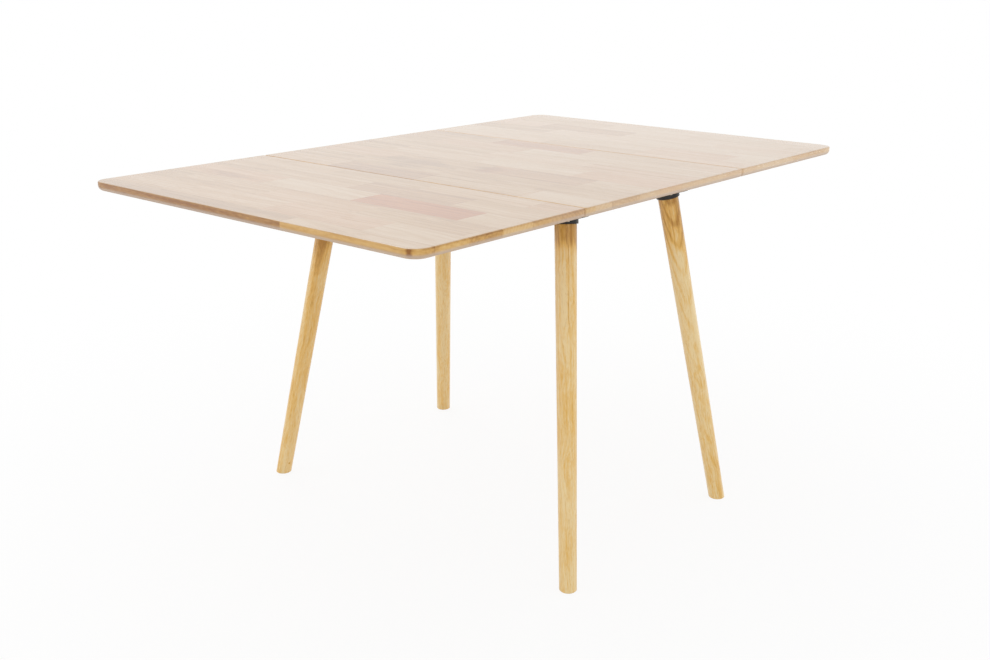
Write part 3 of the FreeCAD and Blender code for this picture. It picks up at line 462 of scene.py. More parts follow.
# Heights between which a look of the board's edge comes or goes
BELOW_FACE = (BOARD_HIGH.z - 0.0014, BOARD_HIGH.z - 0.0003)
ARRIS = (BOARD_HIGH.z - 0.0045, BOARD_HIGH.z - 0.0020)
ABOVE_ROUND = (BOARD_LOW.z + 0.004, BOARD_LOW.z + 0.0110)
OFF_UNDERSIDE = (BOARD_LOW.z + 0.0002, BOARD_LOW.z + 0.002)
BARE_BELOW = (BOARD_LOW.z + 0.002, BOARD_LOW.z + 0.009)
# How far from the middle, along Y, the arris of the long edges begins and shows in full
LONG_EDGE = (BOARD_HIGH.y - 0.004, BOARD_HIGH.y - 0.002)
# The rims of the two seams: where they end, and how much of the edges' finish the left and right one show
SEAM_RIM = (0.0026, 0.0032)
LEFT_RIM, RIGHT_RIM = 0.45, 0.10


def chosen_piece_group():
    """A node group that gives one piece of one stave a tone of its own."""
    steps = Steps(bpy.data.node_groups.new("chosen_piece", "ShaderNodeTree"))
    steps.open_sockets("INPUT", "Float", "Stave", "Along", "Tone", "Rose", "Piece")
    steps.open_sockets("INPUT", "Float", "At stave", "From", "To", "New tone", "New rose")
    steps.open_sockets("OUTPUT", "Float", "Tone", "Rose", "Piece")
    given = steps.add("NodeGroupInput")
    in_stave = steps.math("COMPARE", given["Stave"], given["At stave"], 0.5)
    after = steps.math("GREATER_THAN", given["Along"], given["From"])
    before = steps.math("LESS_THAN", given["Along"], given["To"])
    here = in_stave * after * before

    def either(old, new):
        return steps.add("ShaderNodeMix", {0: here, 2: old, 3: new}, data_type="FLOAT")[0]

    steps.add("NodeGroupOutput", {
        "Tone": either(given["Tone"], given["New tone"]),
        "Rose": either(given["Rose"], given["New rose"]),
        "Piece": either(given["Piece"], given["From"] * CHOSEN_NUMBER),
    })
    return steps.tree


def lay_pieces(finish, board, x, y, looks, group):
    """How far across its stave a point is, its share of glue line, and its piece's tone, rose and seed."""
    edge, width, seed, mean_tone, meets = STAVES[board]
    stave_place = (x - edge) / width
    stave = finish.math("FLOOR", stave_place)
    across = (finish.math("FRACT", stave_place) - 0.5) * width
    stops = [(i / len(meets), (meet,) * 3) for i, meet in enumerate(meets)]
    meet_of_stave = finish.ramp((stave + 0.5) / len(meets), stops, "CONSTANT")
    piece = finish.math("FLOOR", y / looks.piece_length - finish.split_colour(meet_of_stave)[0])
    tone_chance, rose_chance, _ = finish.chance(stave + seed, piece, seed)
    tone = (tone_chance - 0.5) * looks.contrast + mean_tone
    rose = finish.math("POWER", rose_chance, ROSE_RARITY) * ROSE_MOST
    for chosen in CHOSEN[board]:
        values = (stave, y, tone, rose, piece, *chosen)
        outputs = finish.add("ShaderNodeGroup", dict(enumerate(values)), node_tree=group)
        tone, rose, piece = (outputs[i] for i in range(3))
    seeds = finish.join(*finish.chance(stave + seed, piece, seed + 5.0))
    joint = finish.spread(width / 2 - abs(across), GLUE_LINE / 2, GLUE_LINE, 1.0, 0.0)
    return across, joint, tone, rose, seeds


def knot_growth(finish, board, x, y):
    """How much darker the knots and the growth round them make a point of a board."""
    bend = finish.noise(finish.join(x, y), KNOT_BEND_SCALES) * 2 - 1
    growth = 0.0
    for knot_x, knot_y, half_width, half_length, darker in KNOTS[board]:
        off = finish.join((x - knot_x) / half_width + bend, (y - knot_y) / half_length)
        near = finish.spread(finish.distance(off), 0.0, 1.0, darker, 0.0)
        growth = finish.math("MAXIMUM", near, growth)
    return growth


def edge_stretch(finish, x):
    """The warmth, the bleach and the extra darkness of the cut edges at x."""
    reach = -2 * EDGE_STRETCHES[0][0]
    stops = [(start / reach + 0.5, settings) for start, *settings in EDGE_STRETCHES]
    return finish.split_colour(finish.ramp(x / reach + 0.5, stops, "CONSTANT"))


def edge_tone(finish, tone, x, y, z, darker):
    """How dark a cut edge's mottled finish is: darker along its arris and in its marks."""
    cloud = finish.noise(finish.join(x, y, z), EDGE_MOTTLE_SCALES, 4.0, 0.65)
    arris = finish.spread(z, *ARRIS) * finish.spread(abs(y), *LONG_EDGE)
    edge = tone * EDGE_FACE + cloud * EDGE_MOTTLE - EDGE_PALER + darker + arris * ARRIS_DARKER
    for mark_x, mark_y, radius, mark_tone in EDGE_MARKS:
        off = finish.distance(finish.join(x - mark_x, y - mark_y))
        edge = edge + finish.spread(off, 0.0, radius, mark_tone, 0.0)
    return edge


def finish_edge(finish, tint, tone, x, y, z, looks):
    """Makes a tint warmer and mottled on a board's cut edges and seam rims, and paler on the round below,
    whose greyish colour is painted shade.

    Returns the tint and how much of the cut edges' finish a point has.
    """
    warmth, bleach, darker = edge_stretch(finish, x)
    off_underside = finish.spread(z, *OFF_UNDERSIDE)
    on_edge = finish.spread(z, *BELOW_FACE, 1.0, 0.0) * off_underside
    stops = [(0.0, looks.pale_edge), (0.5, looks.middle_edge), (1.0, looks.dark_edge)]
    mottled = finish.ramp(edge_tone(finish, tone, x, y, z, darker), stops)
    tint = finish.blend(on_edge * bleach, tint, solid(looks.bleached_edge))
    cut = on_edge * warmth
    rim_weight = finish.math("GREATER_THAN", x, 0.0) * (RIGHT_RIM - LEFT_RIM) + LEFT_RIM
    rim = finish.spread(abs(abs(x) - SEAM), *SEAM_RIM, rim_weight, 0.0)
    tint = finish.blend(finish.math("MAXIMUM", cut, rim), tint, mottled)
    # Painted shade on the round below the edges
    shaded_under_round = off_underside * (1.0 - finish.spread(z, *ABOVE_ROUND))
    return finish.blend(shaded_under_round * ROUND_SHADE_COVER, tint, solid(looks.shaded_under_edge)), cut


def board_finish(board, looks, group):
    """Clear varnish on a board of edge-glued staves, each made of shorter pieces."""
    finish = Finish(board + "_staves")
    x, y, z = finish.split(finish.place())
    across, joint, piece_tone, rose, seeds = lay_pieces(finish, board, x, y, looks, group)
    side, depth, _ = finish.split(seeds)
    heart = (side * HEART_ACROSS[1] + HEART_ACROSS[0], depth * HEART_THROUGH[1] + HEART_THROUGH[0])
    through = z - (BOARD_LOW.z + BOARD_HIGH.z) / 2
    figure = wood_figure(finish, across, through, y, seeds, heart)
    tone = wood_tone(piece_tone, figure, rings=0.22, bands=0.95, lines=0.90)
    streaks = figure["bands"] * GROWTH_STREAKS + GROWTH_BETWEEN
    tone += finish.math("MAXIMUM", streaks * knot_growth(finish, board, x, y), joint * GLUE_DARKER)
    tint = wood_colour(finish, tone, figure, looks, pore_depth=0.30)
    reddish = finish.ramp(tone, [(0.2, looks.rose), (1.0, looks.dark_rose)])
    tint = finish.blend(rose * ROSE_COVER, tint, reddish)
    calm_tone = (tone - piece_tone) * EDGE_CALM + piece_tone
    tint, cut = finish_edge(finish, tint, calm_tone, x, y, z, looks)
    underside = finish.spread(z, *BARE_BELOW, 1.0, 0.0)
    bare = finish.math("MAXIMUM", underside, cut * EDGE_BARE)
    finish.coat(
        Base_Color=tint, Roughness=figure["lines"] * 0.16 + 0.26 + underside * 0.45,
        Coat_Weight=bare * (-0.9 * looks.gloss) + looks.gloss, Coat_Roughness=0.12, Coat_IOR=1.42,
    )
    raise_grain(finish, figure, 0.4, 0.00006, 0.6)
    return finish.material


# -------------------- legs and underframe
# Each leg: seed, where the heart of its growth rings lies across it, how much they lean, how strongly they
# show, its mean tone, and from where to where painted shade darkens it towards the top, and by how much; the
# painted shade stands for the shadow that the table top casts on the leg
LEG_STICKS = {
    "front_left_leg": ((0.36, 0.20, 0.71), (0.022, -0.012), 0.16, 0.20, 0.27, (0.635, 0.668, 0.66)),
    "front_right_leg": ((0.82, 0.44, 0.15), (-0.020, -0.030), 0.50, 0.36, 0.20, (0.520, 0.650, 0.62)),
    "rear_left_leg": ((0.58, 0.67, 0.39), (0.060, 0.045), 0.10, 0.12, 0.30, (0.460, 0.650, 0.84)),
    "rear_right_leg": ((0.21, 0.85, 0.93), (-0.070, 0.030), 0.10, 0.10, 0.16, (0.560, 0.690, 0.40)),
}
# Up to and from which height a leg's growth rings show at a third of their strength, and in full
RING_RISE = (0.35, 0.60)
# Veins, leg by leg: degrees about the leg, from and to along it, sway and half width in radians, tone
VEINS = {
    "front_left_leg": (
        (232.0, 0.470, 0.690, 0.30, 0.07, 0.60), (206.0, 0.500, 0.640, 0.30, 0.30, -0.34),
    ),
    "front_right_leg": ((214.0, 0.560, 0.650, 0.70, 0.10, 0.25),),
}
VEIN_SWAY_SCALES = (1, 1, 14)
# A pin knot: leg, its place from the middle of the foot, radius, how much darker
PIN_KNOT = ("rear_left_leg", (-0.0145, -0.0095, 0.028), 0.0035, 0.8)
# A leg's points below this height are on the face that it stands on
FOOT_LEVEL = 0.0002


def foot_centre(leg):
    """The middle of the face that a leg stands on."""
    points = [v.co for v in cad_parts[leg].data.vertices if v.co.z < FOOT_LEVEL]
    xs = [point.x for point in points]
    ys = [point.y for point in points]
    return Vector(((min(xs) + max(xs)) / 2, (min(ys) + max(ys)) / 2, 0.0))


def leg_rise(foot, splay):
    """How a leg goes on from its foot for each metre of height."""
    return Vector((-math.copysign(splay, foot.x), -math.copysign(splay, foot.y), 1.0))


def add_veins(finish, leg, foot, rise, tone, height):
    """Adds the darker or paler veins of a leg to its tone; they sway about its axis as they rise."""
    x, y, z = finish.split(finish.place())
    around = finish.math("ARCTAN2", y - (z * rise.y + foot.y), x - (z * rise.x + foot.x))
    for degrees, low, high, sway, half_width, weight in VEINS[leg]:
        wave = finish.noise(finish.join(0.0, degrees, height), VEIN_SWAY_SCALES)
        middle = (wave - 0.5) * sway + (math.radians(degrees) - math.tau)
        near = finish.spread(abs(around - middle), 0.0, half_width, 1.0, 0.0)
        fade = (high - low) / 4
        begun = finish.spread(height, low, low + fade)
        not_ended = finish.spread(height, high - fade, high, 1.0, 0.0)
        tone = near * begun * not_ended * weight + tone
    return tone


def leg_finish(leg, looks):
    """Clear varnish on turned wood, with the grain along the leg's own axis."""
    finish = Finish(leg + "_wood")
    foot = foot_centre(leg)
    rise = leg_rise(foot, looks.splay)
    turn = rise.normalized().to_track_quat("Z", "Y").to_euler()
    inputs = {"Vector": finish.place(), "Location": foot, "Rotation": turn}
    own_place = finish.add("ShaderNodeMapping", inputs, vector_type="TEXTURE")[0]
    x, y, z = finish.split(own_place)
    seed, heart, lean, ring_weight, mean_tone, (shade_low, shade_high, darker) = LEG_STICKS[leg]
    figure = wood_figure(finish, x, y, z, finish.join(*seed), heart, lean)
    uneven = figure["bands"] * 0.05 + (z - 0.025)
    # Painted shade: the tone darkens towards the top of the leg, standing for the shadow under the table top
    crown = finish.spread(uneven, shade_low, shade_high, mean_tone, mean_tone + darker)
    rings = finish.spread(z, *RING_RISE, ring_weight / 3, ring_weight)
    tone = wood_tone(crown, figure, rings=rings, bands=0.90, lines=1.10, flecks=0.75, clouds=0.65)
    if leg in VEINS:
        tone = add_veins(finish, leg, foot, rise, tone, z)
    owner, knot_place, knot_radius, knot_darker = PIN_KNOT
    if leg == owner:
        off = finish.distance(finish.vector("SUBTRACT", own_place, knot_place))
        tone = tone + finish.spread(off, 0.0, knot_radius, knot_darker, 0.0)
    finish.coat(
        Base_Color=wood_colour(finish, tone, figure, looks, pore_depth=0.35),
        Roughness=figure["lines"] * 0.2 + 0.28, Coat_Weight=looks.gloss, Coat_Roughness=0.2, Coat_IOR=1.5,
    )
    raise_grain(finish, figure, 0.5, 0.00008, 0.6)
    return finish.material


def underframe_finish(node, looks):
    """Plain sanded wood with the grain along X."""
    finish = Finish(node + "_wood")
    x, y, z = finish.split(finish.place())
    low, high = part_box(node)
    middle = (low + high) / 2
    seeds = finish.join(0.3 + 0.4 * (middle.y > 0), 0.6, abs(middle.y))
    figure = wood_figure(finish, y - middle.y, z - middle.z, x, seeds, heart=(0.03, -0.06))
    tone = wood_tone(0.45, figure, rings=0.25, bands=0.5, lines=0.35)
    finish.coat(
        Base_Color=wood_colour(finish, tone, figure, looks, pore_depth=0.4),
        Roughness=figure["lines"] * 0.2 + 0.5,
    )
    raise_grain(finish, figure, 0.5, 0.00012, 0.8)
    return finish.material


# -------------------- metal
PEEL_SCALES, COAT_CLOUD_SCALES = (1400, 1400, 1400), (60, 60, 60)
RUB_SCALES, ZINC_CLOUD_SCALES = (2600, 160, 2600), (90, 90, 90)
# How many times the coat's colour its dust has
DUST_PALER = 3


def black_finish(name, tint, roughness):
    """A baked black coat with a faint orange-peel surface and patches of dust."""
    finish = Finish(name)
    peel = finish.noise(finish.place(), PEEL_SCALES, 1.0)
    cloud = finish.noise(finish.place(), COAT_CLOUD_SCALES, 3.0)
    dust = finish.spread(cloud, 0.45, 0.75, 0.0, 0.35)
    finish.coat(
        Base_Color=finish.blend(dust, solid(tint), solid(DUST_PALER * part for part in tint)),
        Roughness=(cloud - 0.5) * 0.18 + roughness, Specular_IOR_Level=0.35,
    )
    finish.raise_by(peel, 0.00006, 0.5)
    return finish.material


def zinc_finish(looks):
    """Zinc plating: cloudy, faintly warm in patches, and brushed by handling."""
    finish = Finish("zinc_plating")
    cloud = finish.noise(finish.place(), ZINC_CLOUD_SCALES, 3.0)
    rub = finish.noise(finish.place(), RUB_SCALES)
    finish.coat(
        Base_Color=finish.blend(finish.spread(cloud, 0.35, 0.7), solid(looks.zinc), solid(looks.zinc_warm)),
        Metallic=1.0, Roughness=rub * 0.16 + cloud * 0.2 + 0.14,
    )
    finish.raise_by(rub, 0.00002, 0.5)
    return finish.material


def dress(nodes, material):
    """Gives CAD nodes a finish."""
    for name in nodes:
        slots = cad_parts[name].data.materials
        slots.clear()
        slots.append(material)


# -------------------- turned fasteners
HEAD_SIDES, SHANK_SIDES = 32, 16
SHARP_FROM = math.radians(35)
THREAD_STEP = 0.0004
# A screw's point: its length in radii of the shank, and how blunt it is
POINT_LENGTH, POINT_BLUNTNESS = 3, 0.12
# Where the shank of a countersunk screw begins, as a share of its head's cone
SHANK_START = 0.9
HEAD_RIM = 0.0002
# How deep the driver's recess goes into a countersunk and a pan head
FLAT_RECESS, PAN_RECESS = 0.0017, 0.0020
# The recess's arms: half their width as a share of the cross, and how the cross narrows to its floor
ARM_WIDTH, RECESS_MOUTH, RECESS_FLOOR = 0.16, 1.1, 0.55
# How far the cutter stands out of the head, as a share of the recess's depth
CUTTER_OUT = 0.3
# The crown of a pan head: turns from its middle to its rim, in radians, and how flat it is
CROWN_TURNS, CROWN_FLATNESS, PAN_RIM = (0.5, 0.8, 1.05, 1.25, 1.4), 0.6, 0.2


def add_object(name, data):
    """Puts a mesh, a lamp or a camera into the scene."""
    thing = bpy.data.objects.new(name, data)
    bpy.context.scene.collection.objects.link(thing)
    return thing


def ring_of_points(mesh, radii, height):
    """Adds a point for each radius to a bmesh, evenly round Z."""
    points = []
    for i, radius in enumerate(radii):
        turn = math.tau * i / len(radii)
        points.append(mesh.verts.new((radius * math.cos(turn), radius * math.sin(turn), height)))
    return points


def bridge(mesh, low, high):
    """Joins two loops of points by a band of faces."""
    for i in range(len(low)):
        following = (i + 1) % len(low)
        mesh.faces.new((low[i], low[following], high[following], high[i]))


def finished_object(name, mesh):
    """Puts a bmesh into a new object of the scene, smooth but for its sharp edges."""
    bmesh.ops.recalc_face_normals(mesh, faces=mesh.faces)
    data = bpy.data.meshes.new(name)
    mesh.to_mesh(data)
    mesh.free()
    data.shade_smooth()
    data.set_sharp_from_angle(angle=SHARP_FROM)
    return add_object(name, data)


def turned_mesh(name, profile):
    """A closed mesh turned about Z from (radius, height) points, the first and the last on the axis."""
    mesh = bmesh.new()
    rings = [ring_of_points(mesh, [radius] * HEAD_SIDES, height) for radius, height in profile[1:-1]]
    start = mesh.verts.new((0, 0, profile[0][1]))
    end = mesh.verts.new((0, 0, profile[-1][1]))
    for i in range(HEAD_SIDES):
        following = (i + 1) % HEAD_SIDES
        mesh.faces.new((start, rings[0][following], rings[0][i]))
        mesh.faces.new((end, rings[-1][i], rings[-1][following]))
    for low, high in zip(rings, rings[1:]):
        bridge(mesh, low, high)
    return finished_object(name, mesh)


def cross_cutter(reach, depth, level):
    """A tapered cross that cuts a driver's recess upwards from a face at the level."""
    mesh = bmesh.new()
    half, arm = reach * ARM_WIDTH, reach / 2
    quarter = [(arm, half), (half, half), (half, arm)]
    outline = []
    for _ in range(4):
        outline += quarter
        quarter = [(-y, x) for x, y in quarter]
    loops = []
    for height, scale in ((level - depth * CUTTER_OUT, RECESS_MOUTH), (level + depth, RECESS_FLOOR)):
        loops.append([mesh.verts.new((x * scale, y * scale, height)) for x, y in outline])
        mesh.faces.new(loops[-1])
    bridge(mesh, *loops)
    return finished_object("recess_cutter", mesh)


def apply_modifiers(thing):
    """Replaces an object's mesh by what its modifiers make of it."""
    depsgraph = bpy.context.evaluated_depsgraph_get()
    made = bpy.data.meshes.new_from_object(thing.evaluated_get(depsgraph), depsgraph=depsgraph)
    thing.modifiers.clear()
    thing.data = made


def cut_recess(head, reach, depth, level):
    """Cuts a cross recess into a screw head whose face is at the level, facing down."""
    cutter = cross_cutter(reach, depth, level)
    cut = head.modifiers.new("recess", "BOOLEAN")
    cut.operation = "DIFFERENCE"
    cut.solver = "EXACT"
    cut.object = cutter
    apply_modifiers(head)
    forget(cutter)
    head.data.set_sharp_from_angle(angle=SHARP_FROM)


def thread_radius(sizes, level, turn):
    """The radius of a thread at a level, and at a share of a turn round it."""
    phase = (level / sizes.thread_pitch - turn) % 1.0
    crest = max(0.0, 1 - abs(phase - 0.5) * 4)
    return sizes.shank - sizes.thread_depth * (1 - crest)


def threaded_shank(sizes, from_level, to_level):
    """A screw shank with a helical thread and a point, along Z."""
    mesh = bmesh.new()
    count = int((to_level - from_level) / THREAD_STEP)
    rings = []
    for ring in range(count + 1):
        level = from_level + (to_level - from_level) * ring / count
        taper = min(1.0, (to_level - level) / (POINT_LENGTH * sizes.shank) + POINT_BLUNTNESS)
        radii = [thread_radius(sizes, level, i / SHANK_SIDES) * taper for i in range(SHANK_SIDES)]
        rings.append(ring_of_points(mesh, radii, level))
    for low, high in zip(rings, rings[1:]):
        bridge(mesh, low, high)
    mesh.faces.new(reversed(rings[0]))
    mesh.faces.new(rings[-1])
    return finished_object("threaded_shank", mesh)


def solid_boxes(node):
    """The (lowest, highest) corners of each separate solid of a CAD node."""
    mesh = bmesh.new()
    mesh.from_mesh(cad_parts[node].data)
    bmesh.ops.remove_doubles(mesh, verts=mesh.verts, dist=1e-6)
    unseen = set(mesh.verts)
    boxes = []
    while unseen:
        island, edge_of_island = set(), {unseen.pop()}
        while edge_of_island:
            vert = edge_of_island.pop()
            island.add(vert)
            edge_of_island |= {e.other_vert(vert) for e in vert.link_edges} & unseen
            unseen -= edge_of_island
        corners = [v.co for v in island]
        low = Vector([min(c[i] for c in corners) for i in range(3)])
        high = Vector([max(c[i] for c in corners) for i in range(3)])
        boxes.append((low, high))
    mesh.free()
    return sorted(boxes, key=lambda box: tuple(round(value, 5) for value in box[0]))


def fastener_tree():
    """Sets a head and a stretched shank on every point, turned at random about Z, in one material."""
    steps = Steps(bpy.data.node_groups.new("fasteners_on_points", "GeometryNodeTree"))
    steps.open_sockets("INPUT", "Geometry", "Geometry")
    steps.open_sockets("INPUT", "Object", "Head", "Shank")
    steps.open_sockets("INPUT", "Int", "Turn seed")
    steps.open_sockets("INPUT", "Material", "Material")
    steps.open_sockets("OUTPUT", "Geometry", "Geometry")
    given = steps.add("NodeGroupInput")
    stretch = steps.add("GeometryNodeInputNamedAttribute", {"Name": "stretch"}, data_type="FLOAT_VECTOR")[0]
    limits = {0: (0, 0, 0), 1: (0, 0, math.tau), "Seed": given["Turn seed"]}
    spin = steps.add("FunctionNodeRandomValue", limits, data_type="FLOAT_VECTOR")[0]
    turned = steps.add("FunctionNodeEulerToRotation", {0: spin})[0]
    both = steps.tree.nodes.new("GeometryNodeJoinGeometry")
    for name, scale in (("Shank", stretch), ("Head", (1, 1, 1))):
        thing = steps.add("GeometryNodeObjectInfo", {"Object": given[name], "As Instance": True})["Geometry"]
        placed = steps.add("GeometryNodeInstanceOnPoints", {
            "Points": given["Geometry"], "Instance": thing, "Rotation": turned, "Scale": scale,
        })[0]
        steps.feed(both.inputs[0], placed)
    whole = steps.add("GeometryNodeRealizeInstances", {0: Value(steps, both.outputs[0])})[0]
    coated = steps.add("GeometryNodeSetMaterial", {"Geometry": whole, "Material": given["Material"]})[0]
    steps.add("NodeGroupOutput", {"Geometry": coated})
    return steps.tree


def set_input(modifier, name, value):
    """Sets a modifier's input by the identifier of the socket with that name."""
    for item in modifier.node_group.interface.items_tree:
        if item.name == name and item.in_out == "INPUT":
            modifier[item.identifier] = value
            return
    raise KeyError(f"{modifier.node_group.name} has no input named {name}")


def fasteners(node, body, head, shank, places, turn_seed):
    """Replaces a CAD node of like fasteners: places holds a (point, stretch of the shank) for each."""
    mesh = bpy.data.meshes.new(node + "_fitted")
    mesh.from_pydata([point for point, stretch in places], [], [])
    layer = mesh.attributes.new("stretch", "FLOAT_VECTOR", "POINT")
    for entry, (point, stretch) in zip(layer.data, places):
        entry.vector = (1, 1, stretch)
    piece = add_object(node + "_fitted", mesh)
    modifier = piece.modifiers.new("fasteners", "NODES")
    modifier.node_group = bpy.data.node_groups.get("fasteners_on_points") or fastener_tree()
    zinc = bpy.data.materials["zinc_plating"]
    for name, value in (("Head", head), ("Shank", shank), ("Turn seed", turn_seed), ("Material", zinc)):
        set_input(modifier, name, value)
    apply_modifiers(piece)
    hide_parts(node)
    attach(piece, body)


def forget(thing):
    """Removes an object that only served to make others."""
    bpy.data.objects.remove(thing)


# -------------------- operators
# The softboxes point here, at the middle of the table
MIDDLE = Vector((0, 0, 0.40))
FAR_CLIP = 200
# How far from the middle the floor begins to turn plain white, and where it is so
FLOOR_FADE = (0.6, 2.1)


def seen_rays(steps):
    """1 for a ray that shows what it meets, straight or mirrored, and 0 for one that only carries light."""
    path = steps.add("ShaderNodeLightPath")
    seen = steps.math("MAXIMUM", path["Is Camera Ray"], path["Is Glossy Ray"])
    return steps.math("MAXIMUM", seen, path["Is Transmission Ray"])


class TABLE_OT_camera(bpy.types.Operator):
    """Set the camera"""
    bl_idname = "table.camera"
    bl_label = "Camera"

    def execute(self, context):
        sizes = context.scene.table_looks.camera
        data = bpy.data.cameras.new("camera")
        data.lens = sizes.lens
        data.clip_end = FAR_CLIP
        level = Vector((math.sin(sizes.heading), math.cos(sizes.heading), 0))
        forward = level * math.cos(sizes.pitch) - Vector((0, 0, math.sin(sizes.pitch)))
        right = Vector((math.cos(sizes.heading), -math.sin(sizes.heading), 0))
        up = right.cross(forward)
        rolled = right * math.cos(sizes.roll) + up * math.sin(sizes.roll)
        rolled_up = up * math.cos(sizes.roll) - right * math.sin(sizes.roll)
        turn = Matrix((rolled, rolled_up, -forward)).transposed()
        camera = add_object("camera", data)
        camera.matrix_world = Matrix.Translation(Vector(sizes.place)) @ turn.to_4x4()
        context.scene.camera = camera
        return {"FINISHED"}


class TABLE_OT_stage(bpy.types.Operator):
    """Lay the pale floor and light the white room"""
    bl_idname = "table.stage"
    bl_label = "Floor and light"

    def execute(self, context):
        looks = context.scene.table_looks.stage
        self.lay_floor(context, looks)
        self.light_room(context, looks)
        for name in ("key", "side", "back", "front"):
            softbox = self.hang_softbox(context, looks, name)
            # The side softbox would show as a white streak in the long front edge
            softbox.visible_glossy = name != "side"
        context.scene.view_settings.view_transform = "Standard"
        return {"FINISHED"}

    def lay_floor(self, context, looks):
        half = looks.floor_size / 2
        corners = [(-half, -half, 0), (half, -half, 0), (half, half, 0), (-half, half, 0)]
        data = bpy.data.meshes.new("floor")
        data.from_pydata(corners, [], [(0, 1, 2, 3)])
        floor = add_object("floor", data)
        finish = Finish("pale_floor")
        cloud = finish.noise(finish.place(), (3, 3, 3))
        paler = solid(part * 1.01 for part in looks.floor_colour)
        finish.coat(
            Base_Color=finish.blend(cloud, solid(looks.floor_colour), paler),
            Roughness=0.9, Specular_IOR_Level=0.2,
        )
        away = finish.spread(finish.distance(finish.place()), *FLOOR_FADE, looks.floor_plain, 1.0)
        plain = finish.add("ShaderNodeEmission", {"Color": WHITE, "Strength": 1.0})[0]
        lit = Value(finish, finish.shader.outputs[0])
        both = finish.add("ShaderNodeMixShader", {0: seen_rays(finish) * away, 1: lit, 2: plain})[0]
        finish.feed(finish.tree.nodes["Material Output"].inputs["Surface"], both)
        data.materials.append(finish.material)

    def light_room(self, context, looks):
        world = bpy.data.worlds.new("white_room")
        world.use_nodes = True
        steps = Steps(world.node_tree)
        dim = steps.add("ShaderNodeBackground", {"Color": WHITE, "Strength": looks.ambient})[0]
        white = steps.add("ShaderNodeBackground", {"Color": WHITE, "Strength": 1.0})[0]
        both = steps.add("ShaderNodeMixShader", {0: seen_rays(steps), 1: dim, 2: white})[0]
        steps.feed(world.node_tree.nodes["World Output"].inputs["Surface"], both)
        context.scene.world = world

    def hang_softbox(self, context, looks, name):
        data = bpy.data.lights.new(name + "_softbox", "AREA")
        data.energy = getattr(looks, name + "_power")
        data.size = getattr(looks, name + "_size")
        softbox = add_object(name + "_softbox", data)
        softbox.location = getattr(looks, name + "_place")
        softbox.rotation_euler = (MIDDLE - softbox.location).to_track_quat("-Z", "Y").to_euler()
        return softbox


class TABLE_OT_boards(bpy.types.Operator):
    """Finish the glued boards of the top"""
    bl_idname = "table.boards"
    bl_label = "Boards of the top"

    def execute(self, context):
        group = chosen_piece_group()
        for board in BOARDS:
            dress([board], board_finish(board, context.scene.table_looks.boards, group))
        return {"FINISHED"}


class TABLE_OT_legs(bpy.types.Operator):
    """Finish the turned legs"""
    bl_idname = "table.legs"
    bl_label = "Legs"

    def execute(self, context):
        for leg in LEGS:
            dress([leg], leg_finish(leg, context.scene.table_looks.legs))
        return {"FINISHED"}


class TABLE_OT_underframe(bpy.types.Operator):
    """Finish the battens and the stay bearers"""
    bl_idname = "table.underframe"
    bl_label = "Battens and bearers"

    def execute(self, context):
        for end in ENDS:
            for node in (f"{end}_leg_batten", f"{end}_stay_bearer"):
                dress([node], underframe_finish(node, context.scene.table_looks.underframe))
        return {"FINISHED"}


class TABLE_OT_plates_and_stays(bpy.types.Operator):
    """Coat the leg plates, the stays and their brackets"""
    bl_idname = "table.plates_and_stays"
    bl_label = "Leg plates and stays"

    def execute(self, context):
        looks = context.scene.table_looks.metal
        dress([leg + "_plate" for leg in LEGS], black_finish("black_plate_coat", looks.black, 0.34))
        stays = [f"{end}_{side}_stay" for end in ENDS for side in SIDES]
        brackets = [stay + "_bracket" for stay in stays]
        dress(stays + brackets, black_finish("black_stay_coat", looks.stay_black, 0.42))
        return {"FINISHED"}


class TABLE_OT_hinges(bpy.types.Operator):
    """Plate the hinges, their pins and the hanger bolts"""
    bl_idname = "table.hinges"
    bl_label = "Hinges"

    def execute(self, context):
        hinges = [f"{side}_{row}_hinge" for side in SIDES for row in ROWS]
        halves = [f"{hinge}_{half}_half" for hinge in hinges for half in ("fixed", "moving")]
        pins = [f"{side}_hinge_pins" for side in SIDES]
        dress(halves + pins + ["leg_hanger_bolts"], zinc_finish(context.scene.table_looks.metal))
        return {"FINISHED"}


class TABLE_OT_countersunk_screws(bpy.types.Operator):
    """Drive the countersunk screws of the hinges and the brackets, once the hinges are plated"""
    bl_idname = "table.countersunk_screws"
    bl_label = "Countersunk screws"

    def execute(self, context):
        sizes = context.scene.table_looks.screws
        radius = sizes.countersunk_head
        cone = radius - sizes.shank
        profile = [(0, 0), (radius - HEAD_RIM, 0), (radius, HEAD_RIM), (sizes.shank, cone), (0, cone)]
        head = turned_mesh("countersunk_head", profile)
        cut_recess(head, sizes.recess, FLAT_RECESS, 0.0)
        bodies = {"centre_hinge_screws": "base"}
        bodies |= {f"{side}_leaf_screws": f"{side}_leaf" for side in SIDES}
        for node, body in bodies.items():
            boxes = solid_boxes(node)
            shank = threaded_shank(sizes, cone * SHANK_START, boxes[0][1].z - boxes[0][0].z)
            places = [(((low.x + high.x) / 2, (low.y + high.y) / 2, low.z), 1) for low, high in boxes]
            fasteners(node, body, head, shank, places, sizes.flat_seed)
            forget(shank)
        forget(head)
        return {"FINISHED"}


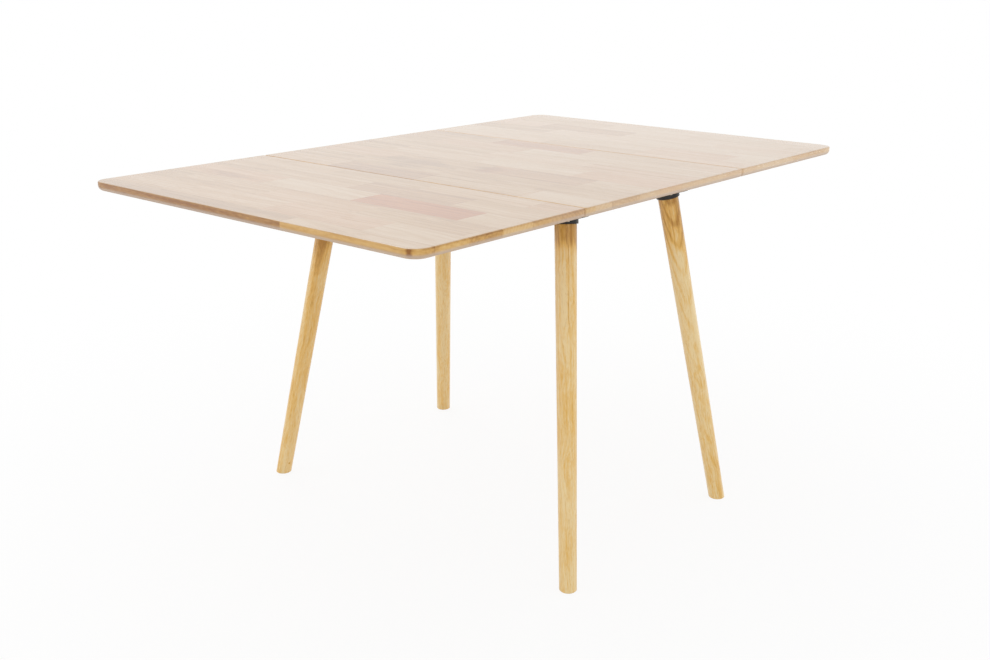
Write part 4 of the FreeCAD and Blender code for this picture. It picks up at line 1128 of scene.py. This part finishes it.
class TABLE_OT_frame_screws(bpy.types.Operator):
    """Drive the pan-headed screws of the plates, the battens and the bearers, once the hinges are plated"""
    bl_idname = "table.frame_screws"
    bl_label = "Frame screws"

    def execute(self, context):
        sizes = context.scene.table_looks.screws
        radius, height = sizes.pan_head, sizes.pan_height
        crown = [(radius * math.sin(a), -height * math.cos(a) ** CROWN_FLATNESS) for a in CROWN_TURNS]
        rim = [(radius, -height * PAN_RIM), (radius, 0)]
        head = turned_mesh("pan_head", [(0, -height), *crown, *rim, (0, 0)])
        cut_recess(head, sizes.recess, PAN_RECESS, -height)
        for node in ("leg_plate_screws", "underframe_screws"):
            boxes = solid_boxes(node)
            shortest = min(high.z - low.z for low, high in boxes) - height
            shank = threaded_shank(sizes, 0.0, shortest)
            places = []
            for low, high in boxes:
                under_head = ((low.x + high.x) / 2, (low.y + high.y) / 2, low.z + height)
                places.append((under_head, (high.z - low.z - height) / shortest))
            fasteners(node, "base", head, shank, places, sizes.pan_seed)
            forget(shank)
        forget(head)
        return {"FINISHED"}


class TABLE_OT_stay_fittings(bpy.types.Operator):
    """Plate the stay rivets and studs, once the hinges are plated"""
    bl_idname = "table.stay_fittings"
    bl_label = "Stay rivets and studs"

    def execute(self, context):
        dress(["stay_studs", "left_stay_rivets", "right_stay_rivets"], bpy.data.materials["zinc_plating"])
        return {"FINISHED"}


OPERATORS = (
    TABLE_OT_camera, TABLE_OT_stage, TABLE_OT_boards, TABLE_OT_legs, TABLE_OT_underframe,
    TABLE_OT_plates_and_stays, TABLE_OT_hinges, TABLE_OT_countersunk_screws, TABLE_OT_frame_screws,
    TABLE_OT_stay_fittings,
)


class VIEW3D_PT_table(bpy.types.Panel):
    bl_label = "Butterfly folding table"
    bl_idname = "VIEW3D_PT_table"
    bl_space_type = "VIEW_3D"
    bl_region_type = "UI"
    bl_category = "Table"

    def draw(self, context):
        for operator in OPERATORS:
            self.layout.operator(operator.bl_idname)


CLASSES = (
    CameraSizes, StageLooks, BoardLooks, LegLooks, UnderframeLooks, MetalLooks, ScrewSizes, TableLooks,
    *OPERATORS, VIEW3D_PT_table,
)


def register():
    for kind in CLASSES:
        bpy.utils.register_class(kind)
    bpy.types.Scene.table_looks = PointerProperty(type=TableLooks)


def unregister():
    del bpy.types.Scene.table_looks
    for kind in reversed(CLASSES):
        bpy.utils.unregister_class(kind)


def main():
    register()
    for operator in OPERATORS:
        group, name = operator.bl_idname.split(".")
        getattr(getattr(bpy.ops, group), name)()


if __name__ == "__main__":
    main()
